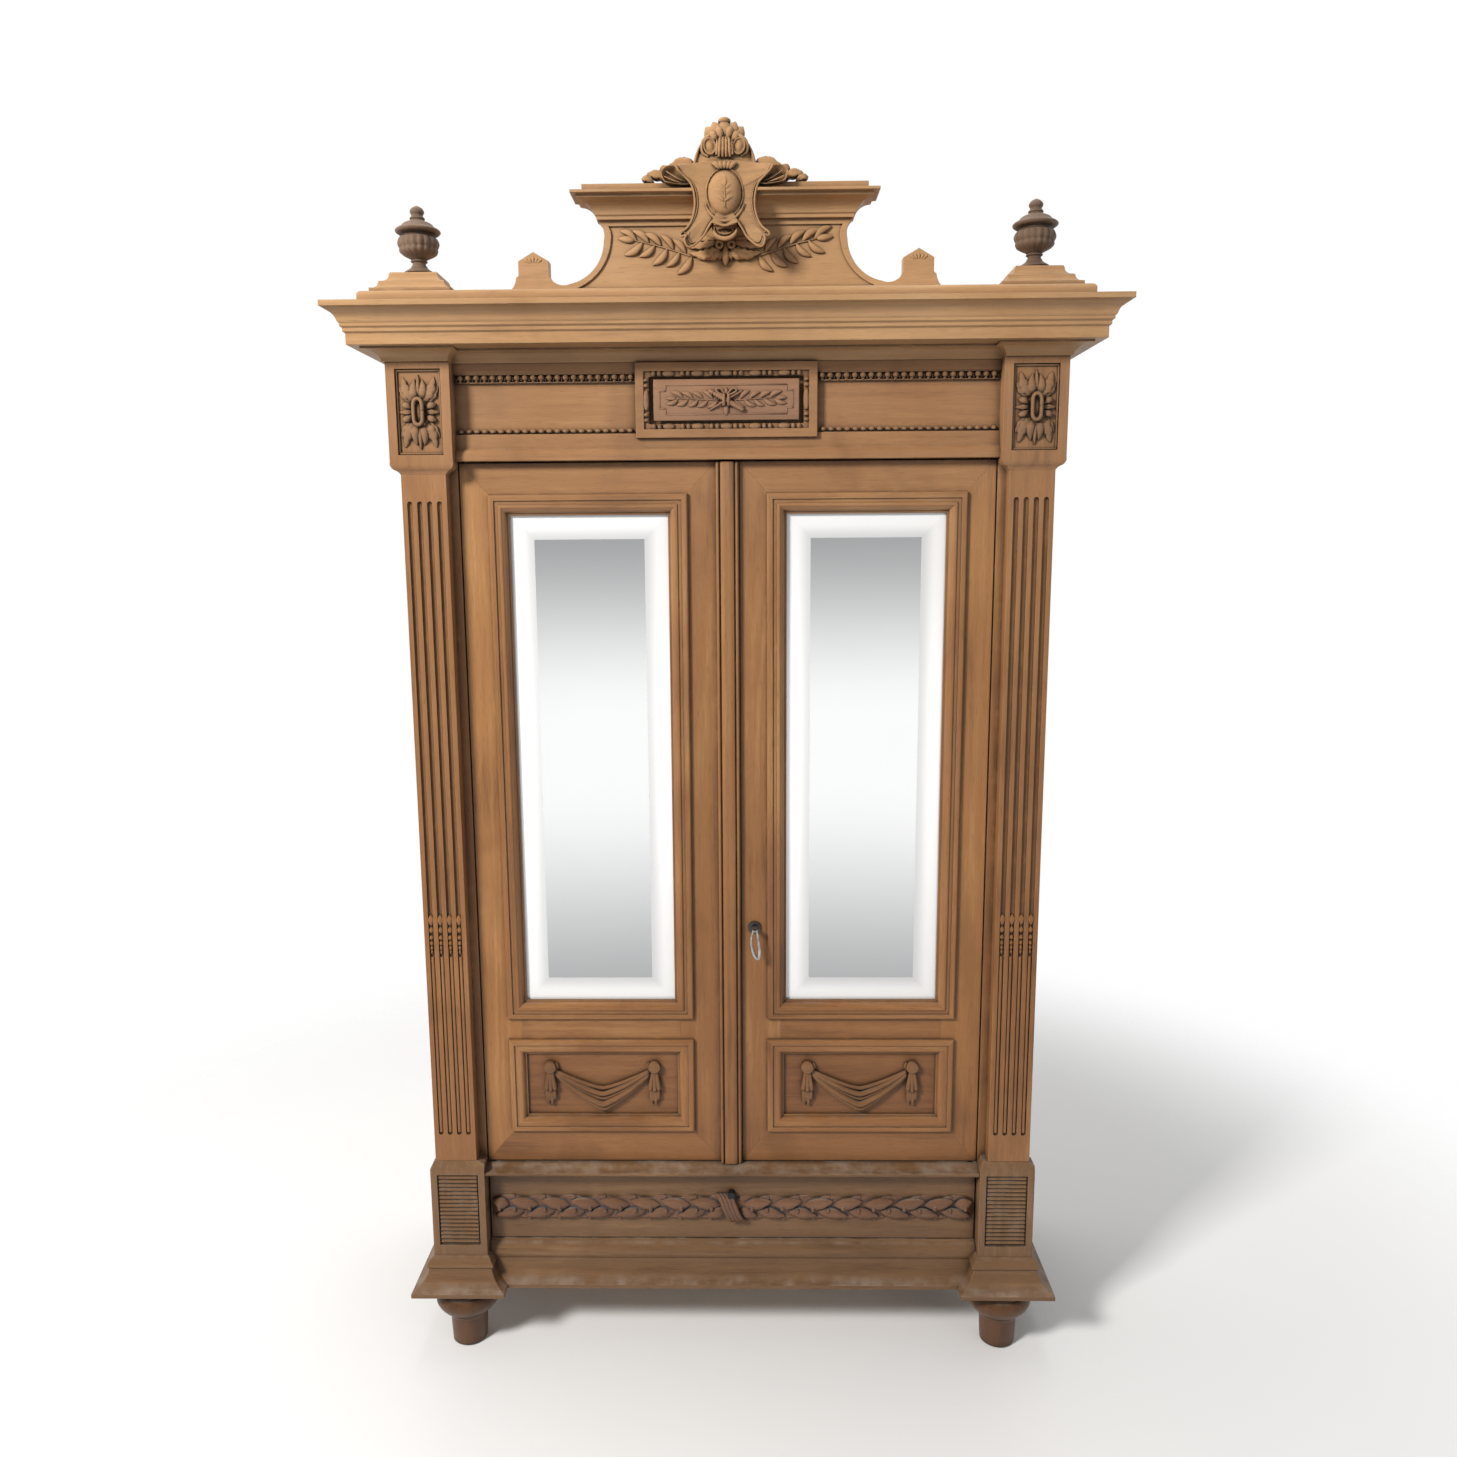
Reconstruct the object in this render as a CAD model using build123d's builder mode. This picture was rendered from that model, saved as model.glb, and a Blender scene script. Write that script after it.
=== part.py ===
"""Two-door armoire with mirrored doors, a laurel-banded drawer and a broken-outline pediment.

Millimetres, +Z up, the front faces -Y, origin on the floor at the centre of the bounding box.
"""
from build123d import *
import os

os.makedirs("parts", exist_ok=True)

# ---------------------------------------------------------------- driving dimensions
FACE = -203.0  # Y of the pilaster faces; depths below are measured back from it
BACK = 300.0  # Y of the back of the case
OPENING_X = 530.0  # half width of the opening between the corner posts
POST_X = 642.0  # half width over the corner posts
FOOT_TOP = 143.0
PLINTH_TOP = 236.0
PEDESTAL_FOOT = 217.0
DRAWER_BOTTOM, DRAWER_TOP = 238.0, 394.0
FLOOR_BOTTOM, FLOOR_TOP = 396.0, 414.0
PEDESTAL_TOP = 434.0
DOOR_BOTTOM, DOOR_TOP = 417.0, 1897.0
HEAD = 1900.0  # underside of the frieze, just above the doors
SHAFT_TOP = 1874.0
CAPITAL_FOOT, CAPITAL_TOP = 1899.0, 2085.0
CORNICE_FOOT, CORNICE_TOP = 2108.0, 2181.0
CORNICE_X = 645.0  # the cornice profile is measured outwards from here and from FACE
ATTIC_TOP = 2204.0
PEDIMENT_TOP = 2348.0
CREST_TOP = 2518.0

POST_Y = FACE + 30  # front of the corner posts
DOOR_Y = FACE + 33  # front of the doors
DOOR_T = 26.0
PIVOT_X, PIVOT_Y = 516.5, FACE + 39
PIVOT_R, RUNNING_GAP = 4.0, 0.05
FOOT_X = 584.0
PILASTER_X = 591.0
FINIAL_X = 587.0
DOOR_X = 276.0  # centre of each door's glass
OPENING_IN, OPENING_OUT = 106.0, 446.0  # inner and outer X of the openings in a door frame
GLASS_Z = (770.0, 1808.0)
PANEL_Z = (514.0, 668.0)
KEY_X, KEY_Z = 52.0, 944.0
SIDES = ((-1, "left"), (1, "right"))


# ---------------------------------------------------------------- building helpers
def block(x0, x1, y0, y1, z0, z1, mode=Mode.ADD):
    """A block between two opposite corners."""
    with Locations(((x0 + x1) / 2, (y0 + y1) / 2, (z0 + z1) / 2)):
        Box(abs(x1 - x0), abs(y1 - y0), abs(z1 - z0), mode=mode)


def outline(steps):
    """A closed outline: a step is a point, or a (through, end) pair for an arc."""
    here = steps[0]
    for step in list(steps[1:]) + [steps[0]]:
        if isinstance(step[0], tuple):
            ThreePointArc(here, step[0], step[1])
            here = step[1]
        elif step != here:
            Line(here, step)
            here = step


def flip(steps, side):
    """The outline mirrored in its first coordinate when side is -1."""
    flipped = []
    for step in steps:
        if isinstance(step[0], tuple):
            flipped.append(((side * step[0][0], step[0][1]), (side * step[1][0], step[1][1])))
        else:
            flipped.append((side * step[0], step[1]))
    return flipped


def mirrored(half):
    """A whole outline from its right half, which starts and ends on the centre line."""
    back = []
    for here, step in zip(half, half[1:]):
        start = here[1] if isinstance(here[0], tuple) else here
        start = (-start[0], start[1])
        if isinstance(step[0], tuple):
            back.append(((-step[0][0], step[0][1]), start))
        else:
            back.append(start)
    return list(half) + back[::-1]


def along_x(steps, x0, x1, mode=Mode.ADD):
    """A (y, z) profile run along X."""
    with BuildSketch(Plane.YZ.offset(x0)) as profile:
        with BuildLine():
            outline(steps)
        make_face()
    extrude(profile.sketch, amount=x1 - x0, mode=mode)


def along_y(steps, y0, y1, mode=Mode.ADD):
    """An (x, z) profile run along Y."""
    with BuildSketch(Plane.XZ.offset(-y1)) as profile:
        with BuildLine():
            outline(steps)
        make_face()
    extrude(profile.sketch, amount=y1 - y0, mode=mode)


def along_z(steps, z0, z1, mode=Mode.ADD):
    """An (x, y) plan run along Z."""
    with BuildSketch(Plane.XY.offset(z0)) as plan:
        with BuildLine():
            outline(steps)
        make_face()
    extrude(plan.sketch, amount=z1 - z0, mode=mode)


def bore_y(x, z, r, y0, y1, mode=Mode.SUBTRACT):
    """A round hole, or a round bar, along Y."""
    with BuildSketch(Plane.XZ.offset(-y1)) as disc:
        with Locations((x, z)):
            Circle(r)
    extrude(disc.sketch, amount=y1 - y0, mode=mode)


def bore_z(x, y, r, z0, z1, mode=Mode.SUBTRACT):
    """A round hole, or a round bar, along Z."""
    with BuildSketch(Plane.XY.offset(z0)) as disc:
        with Locations((x, y)):
            Circle(r)
    extrude(disc.sketch, amount=z1 - z0, mode=mode)


def turned(steps, x, y):
    """A turned piece: an (r, z) outline spun about the vertical through (x, y)."""
    with BuildSketch(Plane((x, y, 0), x_dir=(1, 0, 0), z_dir=(0, -1, 0))) as half:
        with BuildLine():
            outline(steps)
        make_face()
    revolve(half.sketch, axis=Axis((x, y, 0), (0, 0, 1)))


def rectangular_ring(steps, x, half_width, z0, z1):
    """A moulding mitred round an opening: (inwards, forwards) profile from its outer edge."""
    with BuildLine() as ring:
        Polyline(
            (x, DOOR_Y, z0),
            (x + half_width, DOOR_Y, z0),
            (x + half_width, DOOR_Y, z1),
            (x - half_width, DOOR_Y, z1),
            (x - half_width, DOOR_Y, z0),
            close=True,
        )
    with BuildSketch(Plane((x, DOOR_Y, z0), x_dir=(0, 0, 1), z_dir=(1, 0, 0))) as profile:
        with BuildLine():
            outline(steps)
        make_face()
    sweep(profile.sketch, path=ring.wire(), transition=Transition.RIGHT)


def save(piece, label):
    """Label a finished piece and write it to a STEP file of its own."""
    piece.part.label = label
    export_step(piece.part, f"parts/{label}.step")


# ---------------------------------------------------------------- feet and plinth
FOOT = [
    (0, 0), (26, 0), ((35, 4), (38, 13)), (38, 72), ((42, 84), (56, 90)), (60, 94), (62, 98),
    ((69.5, 113), (62, 128)), (52, 130), (52, FOOT_TOP), (0, FOOT_TOP),
]
with BuildPart() as feet:
    for side, name in SIDES:
        turned(FOOT, side * FOOT_X, FACE + 43)
        block(side * 541, side * 627, BACK - 100, BACK - 14, 0, FOOT_TOP)
save(feet, "feet")

# The front of the plinth: an ogee over a groove and a wide cavetto. Points are (depth, z).
PLINTH_PROFILE = [
    (FACE + 50, FOOT_TOP), (FACE - 14, FOOT_TOP), (FACE - 14, 152),
    ((FACE + 8, 170), (FACE + 16, 197)), (FACE + 13, 199), (FACE + 11, 204),
    ((FACE + 14, 222), (FACE + 24, 232)), (FACE + 26, PLINTH_TOP), (FACE + 50, PLINTH_TOP),
]
SIDE_PLINTH_PROFILE = [
    (600, FOOT_TOP), (688, FOOT_TOP), (688, 152), ((666, 170), (656, 197)), (659, 199),
    (661, 204), ((656, 222), (646, 232)), (POST_X, PLINTH_TOP), (600, PLINTH_TOP),
]
with BuildPart() as plinth_moulding:
    along_x(PLINTH_PROFILE, -OPENING_X + 1, OPENING_X - 1)
    for side, name in SIDES:
        along_y(flip(SIDE_PLINTH_PROFILE, side), FACE + 95, BACK)
save(plinth_moulding, "plinth_moulding")

# The blocks under the pedestals flare on three sides, outwards from the pedestal by up to 42.
BLOCK_IN, BLOCK_OUT = 530.0, 646.0
BLOCK_FRONT_VIEW = [
    (BLOCK_IN - 42, FOOT_TOP), (BLOCK_OUT + 42, FOOT_TOP), (BLOCK_OUT + 42, 152),
    ((BLOCK_OUT + 19, 170), (BLOCK_OUT + 10, 193)), (BLOCK_OUT + 14, 196), (BLOCK_OUT + 14, 199),
    ((BLOCK_OUT + 8, 210), (BLOCK_OUT, PEDESTAL_FOOT)), (BLOCK_IN, PEDESTAL_FOOT),
    ((BLOCK_IN - 8, 210), (BLOCK_IN - 14, 199)), (BLOCK_IN - 14, 196), (BLOCK_IN - 10, 193),
    ((BLOCK_IN - 19, 170), (BLOCK_IN - 42, 152)),
]
BLOCK_SIDE_VIEW = [
    (FACE + 95, FOOT_TOP), (FACE - 50, FOOT_TOP), (FACE - 50, 152), ((FACE - 27, 170), (FACE - 18, 193)),
    (FACE - 22, 196), (FACE - 22, 199), ((FACE - 16, 210), (FACE - 8, PEDESTAL_FOOT)),
    (FACE + 95, PEDESTAL_FOOT),
]
with BuildPart() as plinth_blocks:
    for side, name in SIDES:
        along_y(flip(BLOCK_FRONT_VIEW, side), FACE - 60, FACE + 95)
    along_x(BLOCK_SIDE_VIEW, -700, 700, mode=Mode.INTERSECT)
    along_x(PLINTH_PROFILE, -OPENING_X + 1, OPENING_X - 1, mode=Mode.SUBTRACT)
    block(-OPENING_X + 1, OPENING_X - 1, FACE + 30, FACE + 95, FOOT_TOP, PLINTH_TOP, Mode.SUBTRACT)
save(plinth_blocks, "plinth_blocks")

# ---------------------------------------------------------------- carcase boards
with BuildPart() as case_boards:
    block(-OPENING_X + 1, OPENING_X - 1, FACE + 50, FACE + 95, 210, 230)
    block(-600, 600, FACE + 95, FACE + 480, 210, 230)
    block(-600, 600, FACE + 480, BACK, FOOT_TOP, PLINTH_TOP)
    for bottom, top in ((FLOOR_BOTTOM, FLOOR_TOP), (2088, CORNICE_FOOT)):
        block(-OPENING_X, OPENING_X, FACE + 50, FACE + 480, bottom, top)
        block(-614, 614, FACE + 95, FACE + 435, bottom, top)
    block(-12, 12, FACE + 50.8, FACE + 58.2, FLOOR_BOTTOM, 408, Mode.SUBTRACT)
    block(-5, 5, FACE + 61, FACE + 71, 400, FLOOR_TOP, Mode.SUBTRACT)
save(case_boards, "case_boards")

with BuildPart() as posts:
    for side, name in SIDES:
        block(side * 531, side * POST_X, POST_Y, FACE + 95, PEDESTAL_FOOT, CORNICE_FOOT)
        block(side * 582, side * POST_X, FACE + 435, BACK, PLINTH_TOP, CORNICE_FOOT)
save(posts, "posts")

SIDE_RAILS = ((PLINTH_TOP, 336), (1130, 1210), (2008, CORNICE_FOOT))
with BuildPart() as side_rails:
    for side, name in SIDES:
        for bottom, top in SIDE_RAILS:
            block(side * 614, side * POST_X, FACE + 95, FACE + 435, bottom, top)
save(side_rails, "side_rails")

with BuildPart() as side_panels:
    for side, name in SIDES:
        for (low, bottom), (top, high) in zip(SIDE_RAILS, SIDE_RAILS[1:]):
            block(side * 622, side * 632, FACE + 95, FACE + 435, bottom, top)
            block(side * 632, side * 638, FACE + 135, FACE + 395, bottom + 40, top - 40)
    field_edges = side_panels.edges().filter_by(lambda e: abs(abs(e.center().X) - 638) < 0.5)
    chamfer(field_edges, 5)
save(side_panels, "side_panels")

BACK_RAILS = ((PLINTH_TOP, 336), (1130, 1210), (2008, CORNICE_FOOT))
with BuildPart() as back_frame:
    block(-582, 582, FACE + 480, BACK, PLINTH_TOP, CORNICE_FOOT)
    for (low, bottom), (top, high) in zip(BACK_RAILS, BACK_RAILS[1:]):
        for side, name in SIDES:
            block(side * 40, side * 502, FACE + 480, BACK, bottom, top, Mode.SUBTRACT)
save(back_frame, "back_frame")

with BuildPart() as back_panels:
    for (low, bottom), (top, high) in zip(BACK_RAILS, BACK_RAILS[1:]):
        for side, name in SIDES:
            block(side * 40, side * 502, FACE + 487, FACE + 495, bottom, top)
save(back_panels, "back_panels")

# ---------------------------------------------------------------- pedestals and pilasters
REED_PITCH = 9.3
with BuildPart() as pedestals:
    for side, name in SIDES:
        block(side * 530, side * 646, FACE - 8, POST_Y, PEDESTAL_FOOT, PEDESTAL_TOP)
        block(side * 544, side * 632, FACE - 8, FACE - 2, 241, 404, Mode.SUBTRACT)
    top_edges = pedestals.faces().filter_by(Axis.Z).group_by(Axis.Z)[-1].edges()
    chamfer(top_edges.filter_by(lambda e: e.center().Y < POST_Y - 1), length=16, length2=7.5)
    for row in range(17):
        for side, name in SIDES:
            with BuildSketch(Plane.YZ.offset(side * 588 - 41)):
                with Locations((FACE - 2, 248.2 + row * REED_PITCH)):
                    Ellipse(5, 3.9)
            extrude(amount=82)
save(pedestals, "pedestals")

FLUTE_PITCH, FLUTE_R = 19.5, 5.0
FLUTE_BOTTOM, BUD_BOTTOM, BUD_TOP, FLUTE_TOP = 493.0, 891.0, 982.0, 1823.0
with BuildPart() as pilasters:
    for side, name in SIDES:
        block(side * 547, side * 635, FACE, POST_Y, PEDESTAL_TOP, SHAFT_TOP)
    flute_middle = (FLUTE_BOTTOM + FLUTE_TOP) / 2
    for side, name in SIDES:
        with BuildSketch(Plane.XZ.offset(-FACE)):
            with GridLocations(FLUTE_PITCH, 1, 4, 1):
                with Locations((side * PILASTER_X, flute_middle)):
                    SlotOverall(FLUTE_TOP - FLUTE_BOTTOM, 2 * FLUTE_R, rotation=90)
        extrude(amount=-5, mode=Mode.SUBTRACT)
    for side, name in SIDES:
        with BuildSketch(Plane.XY.offset(FLUTE_BOTTOM + 6)):
            with GridLocations(FLUTE_PITCH, 1, 4, 1):
                with Locations((side * PILASTER_X, FACE + 4)):
                    Ellipse(4, 3.5)
        extrude(amount=BUD_BOTTOM - FLUTE_BOTTOM - 6)
save(pilasters, "pilasters")

# The necking spreads from the shaft to the capital in an ogee on three sides.
NECK_FRONT_VIEW = [
    (547, SHAFT_TOP), ((543, 1879), (537, 1883)), ((531, 1889), (530, CAPITAL_FOOT)), (653, CAPITAL_FOOT),
    ((652, 1889), (646, 1883)), ((639, 1879), (635, SHAFT_TOP)),
]
NECK_SIDE_VIEW = [
    (POST_Y, SHAFT_TOP), (FACE, SHAFT_TOP), ((FACE - 2, 1880), (FACE - 5, 1884)),
    ((FACE - 7.5, 1890), (FACE - 8, CAPITAL_FOOT)), (POST_Y, CAPITAL_FOOT),
]
with BuildPart() as neckings:
    for side, name in SIDES:
        along_y(flip(NECK_FRONT_VIEW, side), FACE - 8, POST_Y)
    along_x(NECK_SIDE_VIEW, -660, 660, mode=Mode.INTERSECT)

with BuildPart() as capitals:
    for side, name in SIDES:
        block(side * 530, side * 653, FACE - 8, POST_Y, CAPITAL_FOOT, CAPITAL_TOP)
        block(side * 547.5, side * 635.5, FACE - 8, FACE - 1, 1911, 2072, Mode.SUBTRACT)
    add(neckings.part)
save(capitals, "capitals")

# Each rosette is an upright bud between four leaves, side petals and end buds.
with BuildPart() as rosettes:
    for side, name in SIDES:
        centre = Vector(side * 591.5, FACE - 1, 1991.5)
        face_plane = Plane(centre, x_dir=(1, 0, 0), z_dir=(0, -1, 0))
        with BuildSketch(face_plane):
            SlotOverall(56, 21, rotation=90)
        extrude(amount=15)
        with BuildSketch(face_plane):
            Ellipse(38, 30)
        extrude(amount=9)
        with BuildSketch(face_plane):
            Ellipse(12, 76)
        extrude(amount=8)
        with BuildSketch(face_plane):
            with BuildLine():
                outline([(0, 8), ((26, 30), (38, 72)), ((10, 50), (0, 8))])
            make_face()
            mirror(about=Plane.YZ)
            mirror(about=Plane.XZ)
        extrude(amount=7)
save(rosettes, "rosettes")

# ---------------------------------------------------------------- frieze
FRAME_X, FRAME_Z = 176.0, (1942.0, 2083.0)
with BuildPart() as frieze_board:
    block(-531, 531, POST_Y, FACE + 50, HEAD, CORNICE_FOOT)
    for side, name in SIDES:
        bore_z(side * PIVOT_X, PIVOT_Y, 7, HEAD, 1914)
save(frieze_board, "frieze_board")

HEAD_PROFILE = [
    (POST_Y, HEAD), (FACE + 11, HEAD), (FACE + 11, 1905), ((FACE + 13, 1917), (FACE + 21, 1924)),
    (FACE + 21, 1926), (POST_Y, 1926),
]
with BuildPart() as frieze_rails:
    block(-OPENING_X, OPENING_X, FACE + 22, POST_Y, 2065, CAPITAL_TOP)
    block(-OPENING_X, OPENING_X, FACE + 22, POST_Y, 1926, 1951)
    block(-FRAME_X, FRAME_X, FACE + 22, POST_Y, *FRAME_Z, Mode.SUBTRACT)
    along_x(HEAD_PROFILE, -OPENING_X, OPENING_X)
save(frieze_rails, "frieze_rails")

with BuildPart() as frieze_beads:
    for side, name in SIDES:
        block(side * FRAME_X, side * OPENING_X, FACE + 20, POST_Y, 2049, 2065)
        block(side * FRAME_X, side * OPENING_X, FACE + 23, POST_Y, 1951, 1960)
save(frieze_beads, "frieze_beads")

with BuildPart() as frieze_frame:
    block(-FRAME_X, FRAME_X, FACE + 14, POST_Y, *FRAME_Z)
    block(-150, 150, FACE + 14, POST_Y, 1968, 2057, Mode.SUBTRACT)
    block(-160, 160, FACE + 14, FACE + 18, 1958, 2067, Mode.SUBTRACT)
save(frieze_frame, "frieze_frame")

with BuildPart() as frieze_plaque:
    block(-150, 150, FACE + 22, POST_Y, 1968, 2057)
    block(-141, 141, FACE + 12, FACE + 22, 1974, 2051)
save(frieze_plaque, "frieze_plaque")

# The bed moulding breaks forward over each capital.
BED_PROFILE = [
    (POST_Y, CAPITAL_TOP), (FACE + 20, CAPITAL_TOP), (FACE + 17, 2089), ((FACE + 10, 2100), (FACE - 8, 2104)),
    (FACE - 8, CORNICE_FOOT), (POST_Y, CORNICE_FOOT),
]
BED_FRONT_VIEW = [
    (530, CAPITAL_TOP), (658, CAPITAL_TOP), (658, 2089), ((666, 2099), (688, 2104)), (688, CORNICE_FOOT),
    (512, CORNICE_FOOT), (512, 2104), ((524, 2099), (530, 2089)),
]
BED_SIDE_VIEW = [
    (POST_Y, CAPITAL_TOP), (FACE - 13, CAPITAL_TOP), (FACE - 13, 2089), ((FACE - 21, 2099), (FACE - 43, 2104)),
    (FACE - 43, CORNICE_FOOT), (POST_Y, CORNICE_FOOT),
]
with BuildPart() as capital_mouldings:
    for side, name in SIDES:
        along_y(flip(BED_FRONT_VIEW, side), FACE - 50, POST_Y)
    along_x(BED_SIDE_VIEW, -700, 700, mode=Mode.INTERSECT)

with BuildPart() as bed_moulding:
    along_x(BED_PROFILE, -OPENING_X, OPENING_X)
    for side, name in SIDES:
        along_y(flip(BED_FRONT_VIEW, side), FACE - 50, POST_Y, mode=Mode.SUBTRACT)
        block(side * POST_X, side * 658, POST_Y, BACK, CAPITAL_TOP, CORNICE_FOOT)
    add(capital_mouldings.part)
save(bed_moulding, "bed_moulding")

# ---------------------------------------------------------------- cornice
# Points are (outwards, z), from the reference faces at FACE and at CORNICE_X.
CORNICE = [
    (-60, CORNICE_FOOT), (62, CORNICE_FOOT), (62, 2128), (66, 2131), (66, 2137), (70, 2140), (70, 2145),
    (73, 2148), ((79, 2160), (87, 2166)), (92, 2170), (97, 2171), (97, CORNICE_TOP), (-60, CORNICE_TOP),
]


def spread(steps, place):
    """The outline with each point moved by a function of its two coordinates."""
    moved = []
    for step in steps:
        if isinstance(step[0], tuple):
            moved.append((place(*step[0]), place(*step[1])))
        else:
            moved.append(place(*step))
    return moved


MITRE = 150.0  # how far the mitre lines run past the profile, either way
with BuildPart() as cornice_front:
    along_x(spread(CORNICE, lambda out, z: (FACE - out, z)), -800, 800)
    along_z(
        mirrored([(0, FACE - MITRE), (CORNICE_X + MITRE, FACE - MITRE),
                  (CORNICE_X - MITRE, FACE + MITRE), (0, FACE + MITRE)]),
        CORNICE_FOOT - 1, CORNICE_TOP + 1, mode=Mode.INTERSECT,
    )

with BuildPart() as cornice:
    for side, name in SIDES:
        along_y(flip(spread(CORNICE, lambda out, z: (CORNICE_X + out, z)), side), FACE - MITRE, BACK)
    along_z(
        mirrored([(0, BACK), (CORNICE_X + MITRE, BACK), (CORNICE_X + MITRE, FACE - MITRE),
                  (CORNICE_X - MITRE, FACE + MITRE), (0, FACE + MITRE)]),
        CORNICE_FOOT - 1, CORNICE_TOP + 1, mode=Mode.INTERSECT,
    )
    add(cornice_front.part)
save(cornice, "cornice")

with BuildPart() as attic_board:
    block(-681, 681, FACE - 66, BACK, CORNICE_TOP, ATTIC_TOP)
    upper = attic_board.faces().sort_by(Axis.Z)[-1].edges()
    fillet(upper.filter_by(lambda e: e.center().Y < BACK - 1), 9)
save(attic_board, "attic_board")

# ---------------------------------------------------------------- finials
FINIAL_Y = FACE + 28
PLINTH_BLOCK = [
    (-76, ATTIC_TOP), (76, ATTIC_TOP), (76, 2212), ((66, 2216), (62, 2226)), (58, 2228), ((50, 2232), (46, 2242)),
    (44, 2246), (-44, 2246), (-46, 2242), ((-50, 2232), (-58, 2228)), (-62, 2226), ((-66, 2216), (-76, 2212)),
]
with BuildPart() as finial_plinths:
    for side, name in SIDES:
        centred = spread(PLINTH_BLOCK, lambda out, z: (side * FINIAL_X + out, z))
        along_y(centred, FINIAL_Y - 80, FINIAL_Y + 80)
    along_x(spread(PLINTH_BLOCK, lambda out, z: (FINIAL_Y + out, z)), -700, 700, mode=Mode.INTERSECT)
save(finial_plinths, "finial_plinths")

FINIAL = [
    (0, 2246), (34, 2246), (34, 2250), ((28, 2259), (15, 2262)), (14, 2268), (19, 2270), (19, 2274), (16, 2276),
    ((33, 2286), (37, 2304)), ((34, 2312), (27, 2316)), (27, 2319), ((33, 2321), (40, 2324)),
    ((42, 2328), (40, 2332)), ((24, 2336), (12, 2342)), (10, 2345), (13, 2364), ((11, 2372), (5, 2376)),
    (0, 2376),
]
with BuildPart() as finials:
    for side, name in SIDES:
        turned(FINIAL, side * FINIAL_X, FINIAL_Y)
save(finials, "finials")

# ---------------------------------------------------------------- pediment
PEDIMENT_Y = FACE + 38
PEDIMENT = mirrored([
    (0, ATTIC_TOP), (437, ATTIC_TOP), (437, 2213), ((416, 2222), (404, 2246)), (399, 2250), (399, 2276),
    (370, 2293), (340, 2276), (340, 2250), (334, 2240), ((318, 2232), (300, 2234)), ((252, 2262), (233, 2312)),
    ((234, 2334), (243, PEDIMENT_TOP)), (0, PEDIMENT_TOP),
])
TYMPANUM = mirrored([
    (0, 2226), (286, 2226), ((240, 2260), (219, 2314)), ((219, 2326), (224, 2338)), (0, 2338),
])
with BuildPart() as pediment_board:
    along_y(PEDIMENT, PEDIMENT_Y, PEDIMENT_Y + 24)
    along_y(TYMPANUM, PEDIMENT_Y, PEDIMENT_Y + 4, mode=Mode.SUBTRACT)
save(pediment_board, "pediment_board")

CARTOUCHE_BACK = FACE + 2
CARTOUCHE = mirrored([
    (0, 2302), ((30, 2312), (58, 2296)), (84, 2306), ((64, 2340), (56, 2385)), ((70, 2410), (112, 2416)),
    (116, 2424), ((70, 2434), (40, 2430)), ((22, 2446), (0, 2446)),
])
# Points are (outwards, z) from the front and the ends of the pediment board.
PEDIMENT_CORNICE = [
    (0, PEDIMENT_TOP), (6, PEDIMENT_TOP), (6, 2354), (9, 2356), ((18, 2370), (36, 2378)), (40, 2379),
    (40, 2384), (50, 2385), (50, 2390), (0, 2390),
]


def pediment_ends(side):
    """The pediment cornice's profile standing out from one end of the board."""
    return flip(spread(PEDIMENT_CORNICE, lambda out, z: (239 + out, z)), side)


with BuildPart() as pediment_cornice:
    for side, name in SIDES:
        along_y(pediment_ends(side), FACE - 14, PEDIMENT_Y + 24)
    block(-239, 239, FACE - 14, PEDIMENT_Y + 24, PEDIMENT_TOP, 2390)
    front_view = spread(PEDIMENT_CORNICE, lambda out, z: (FACE + 36 - out, z))
    along_x(front_view[:-1] + [(FACE + 36, 2390), (PEDIMENT_Y + 24, 2390), (PEDIMENT_Y + 24, PEDIMENT_TOP)],
            -300, 300, mode=Mode.INTERSECT)
    block(-269, 269, FACE + 6, PEDIMENT_Y + 24, 2390, 2405)
    along_y(CARTOUCHE, FACE - 40, CARTOUCHE_BACK, mode=Mode.SUBTRACT)
save(pediment_cornice, "pediment_cornice")

with BuildPart() as cartouche:
    along_y(CARTOUCHE, FACE - 34, CARTOUCHE_BACK)
    block(-54, 54, CARTOUCHE_BACK, PEDIMENT_Y + 4, 2318, 2338)
    block(-54, 54, CARTOUCHE_BACK, FACE + 30, 2338, 2346)
save(cartouche, "cartouche")

CREST = mirrored([
    (0, 2405), (154, 2405), ((120, 2424), (88, 2420)), ((78, 2444), (60, 2440)), ((52, 2474), (30, 2484)),
    (34, 2494), ((18, 2500), (12, 2510)), ((6, 2518), (0, CREST_TOP)),
])
with BuildPart() as crest:
    along_y(CREST, CARTOUCHE_BACK, FACE + 46)
save(crest, "crest")

BRANCH = [(60, 2290), ((120, 2278), (186, 2300)), ((150, 2318), (60, 2312))]
CENTRE_LEAF = mirrored([(0, 2262), ((14, 2272), (16, 2288)), ((38, 2290), (30, 2304)), ((20, 2312), (0, 2310))])
with BuildPart() as pediment_relief:
    for side, name in SIDES:
        along_y(flip(BRANCH, side), PEDIMENT_Y - 8, PEDIMENT_Y + 4)
        along_y(flip([(348, 2244), (392, 2244), (392, 2266), (348, 2266)], side), PEDIMENT_Y - 3, PEDIMENT_Y)
    along_y(CENTRE_LEAF, PEDIMENT_Y - 22, PEDIMENT_Y + 4)
    along_y(CARTOUCHE, FACE - 40, PEDIMENT_Y, mode=Mode.SUBTRACT)
save(pediment_relief, "pediment_relief")

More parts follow.
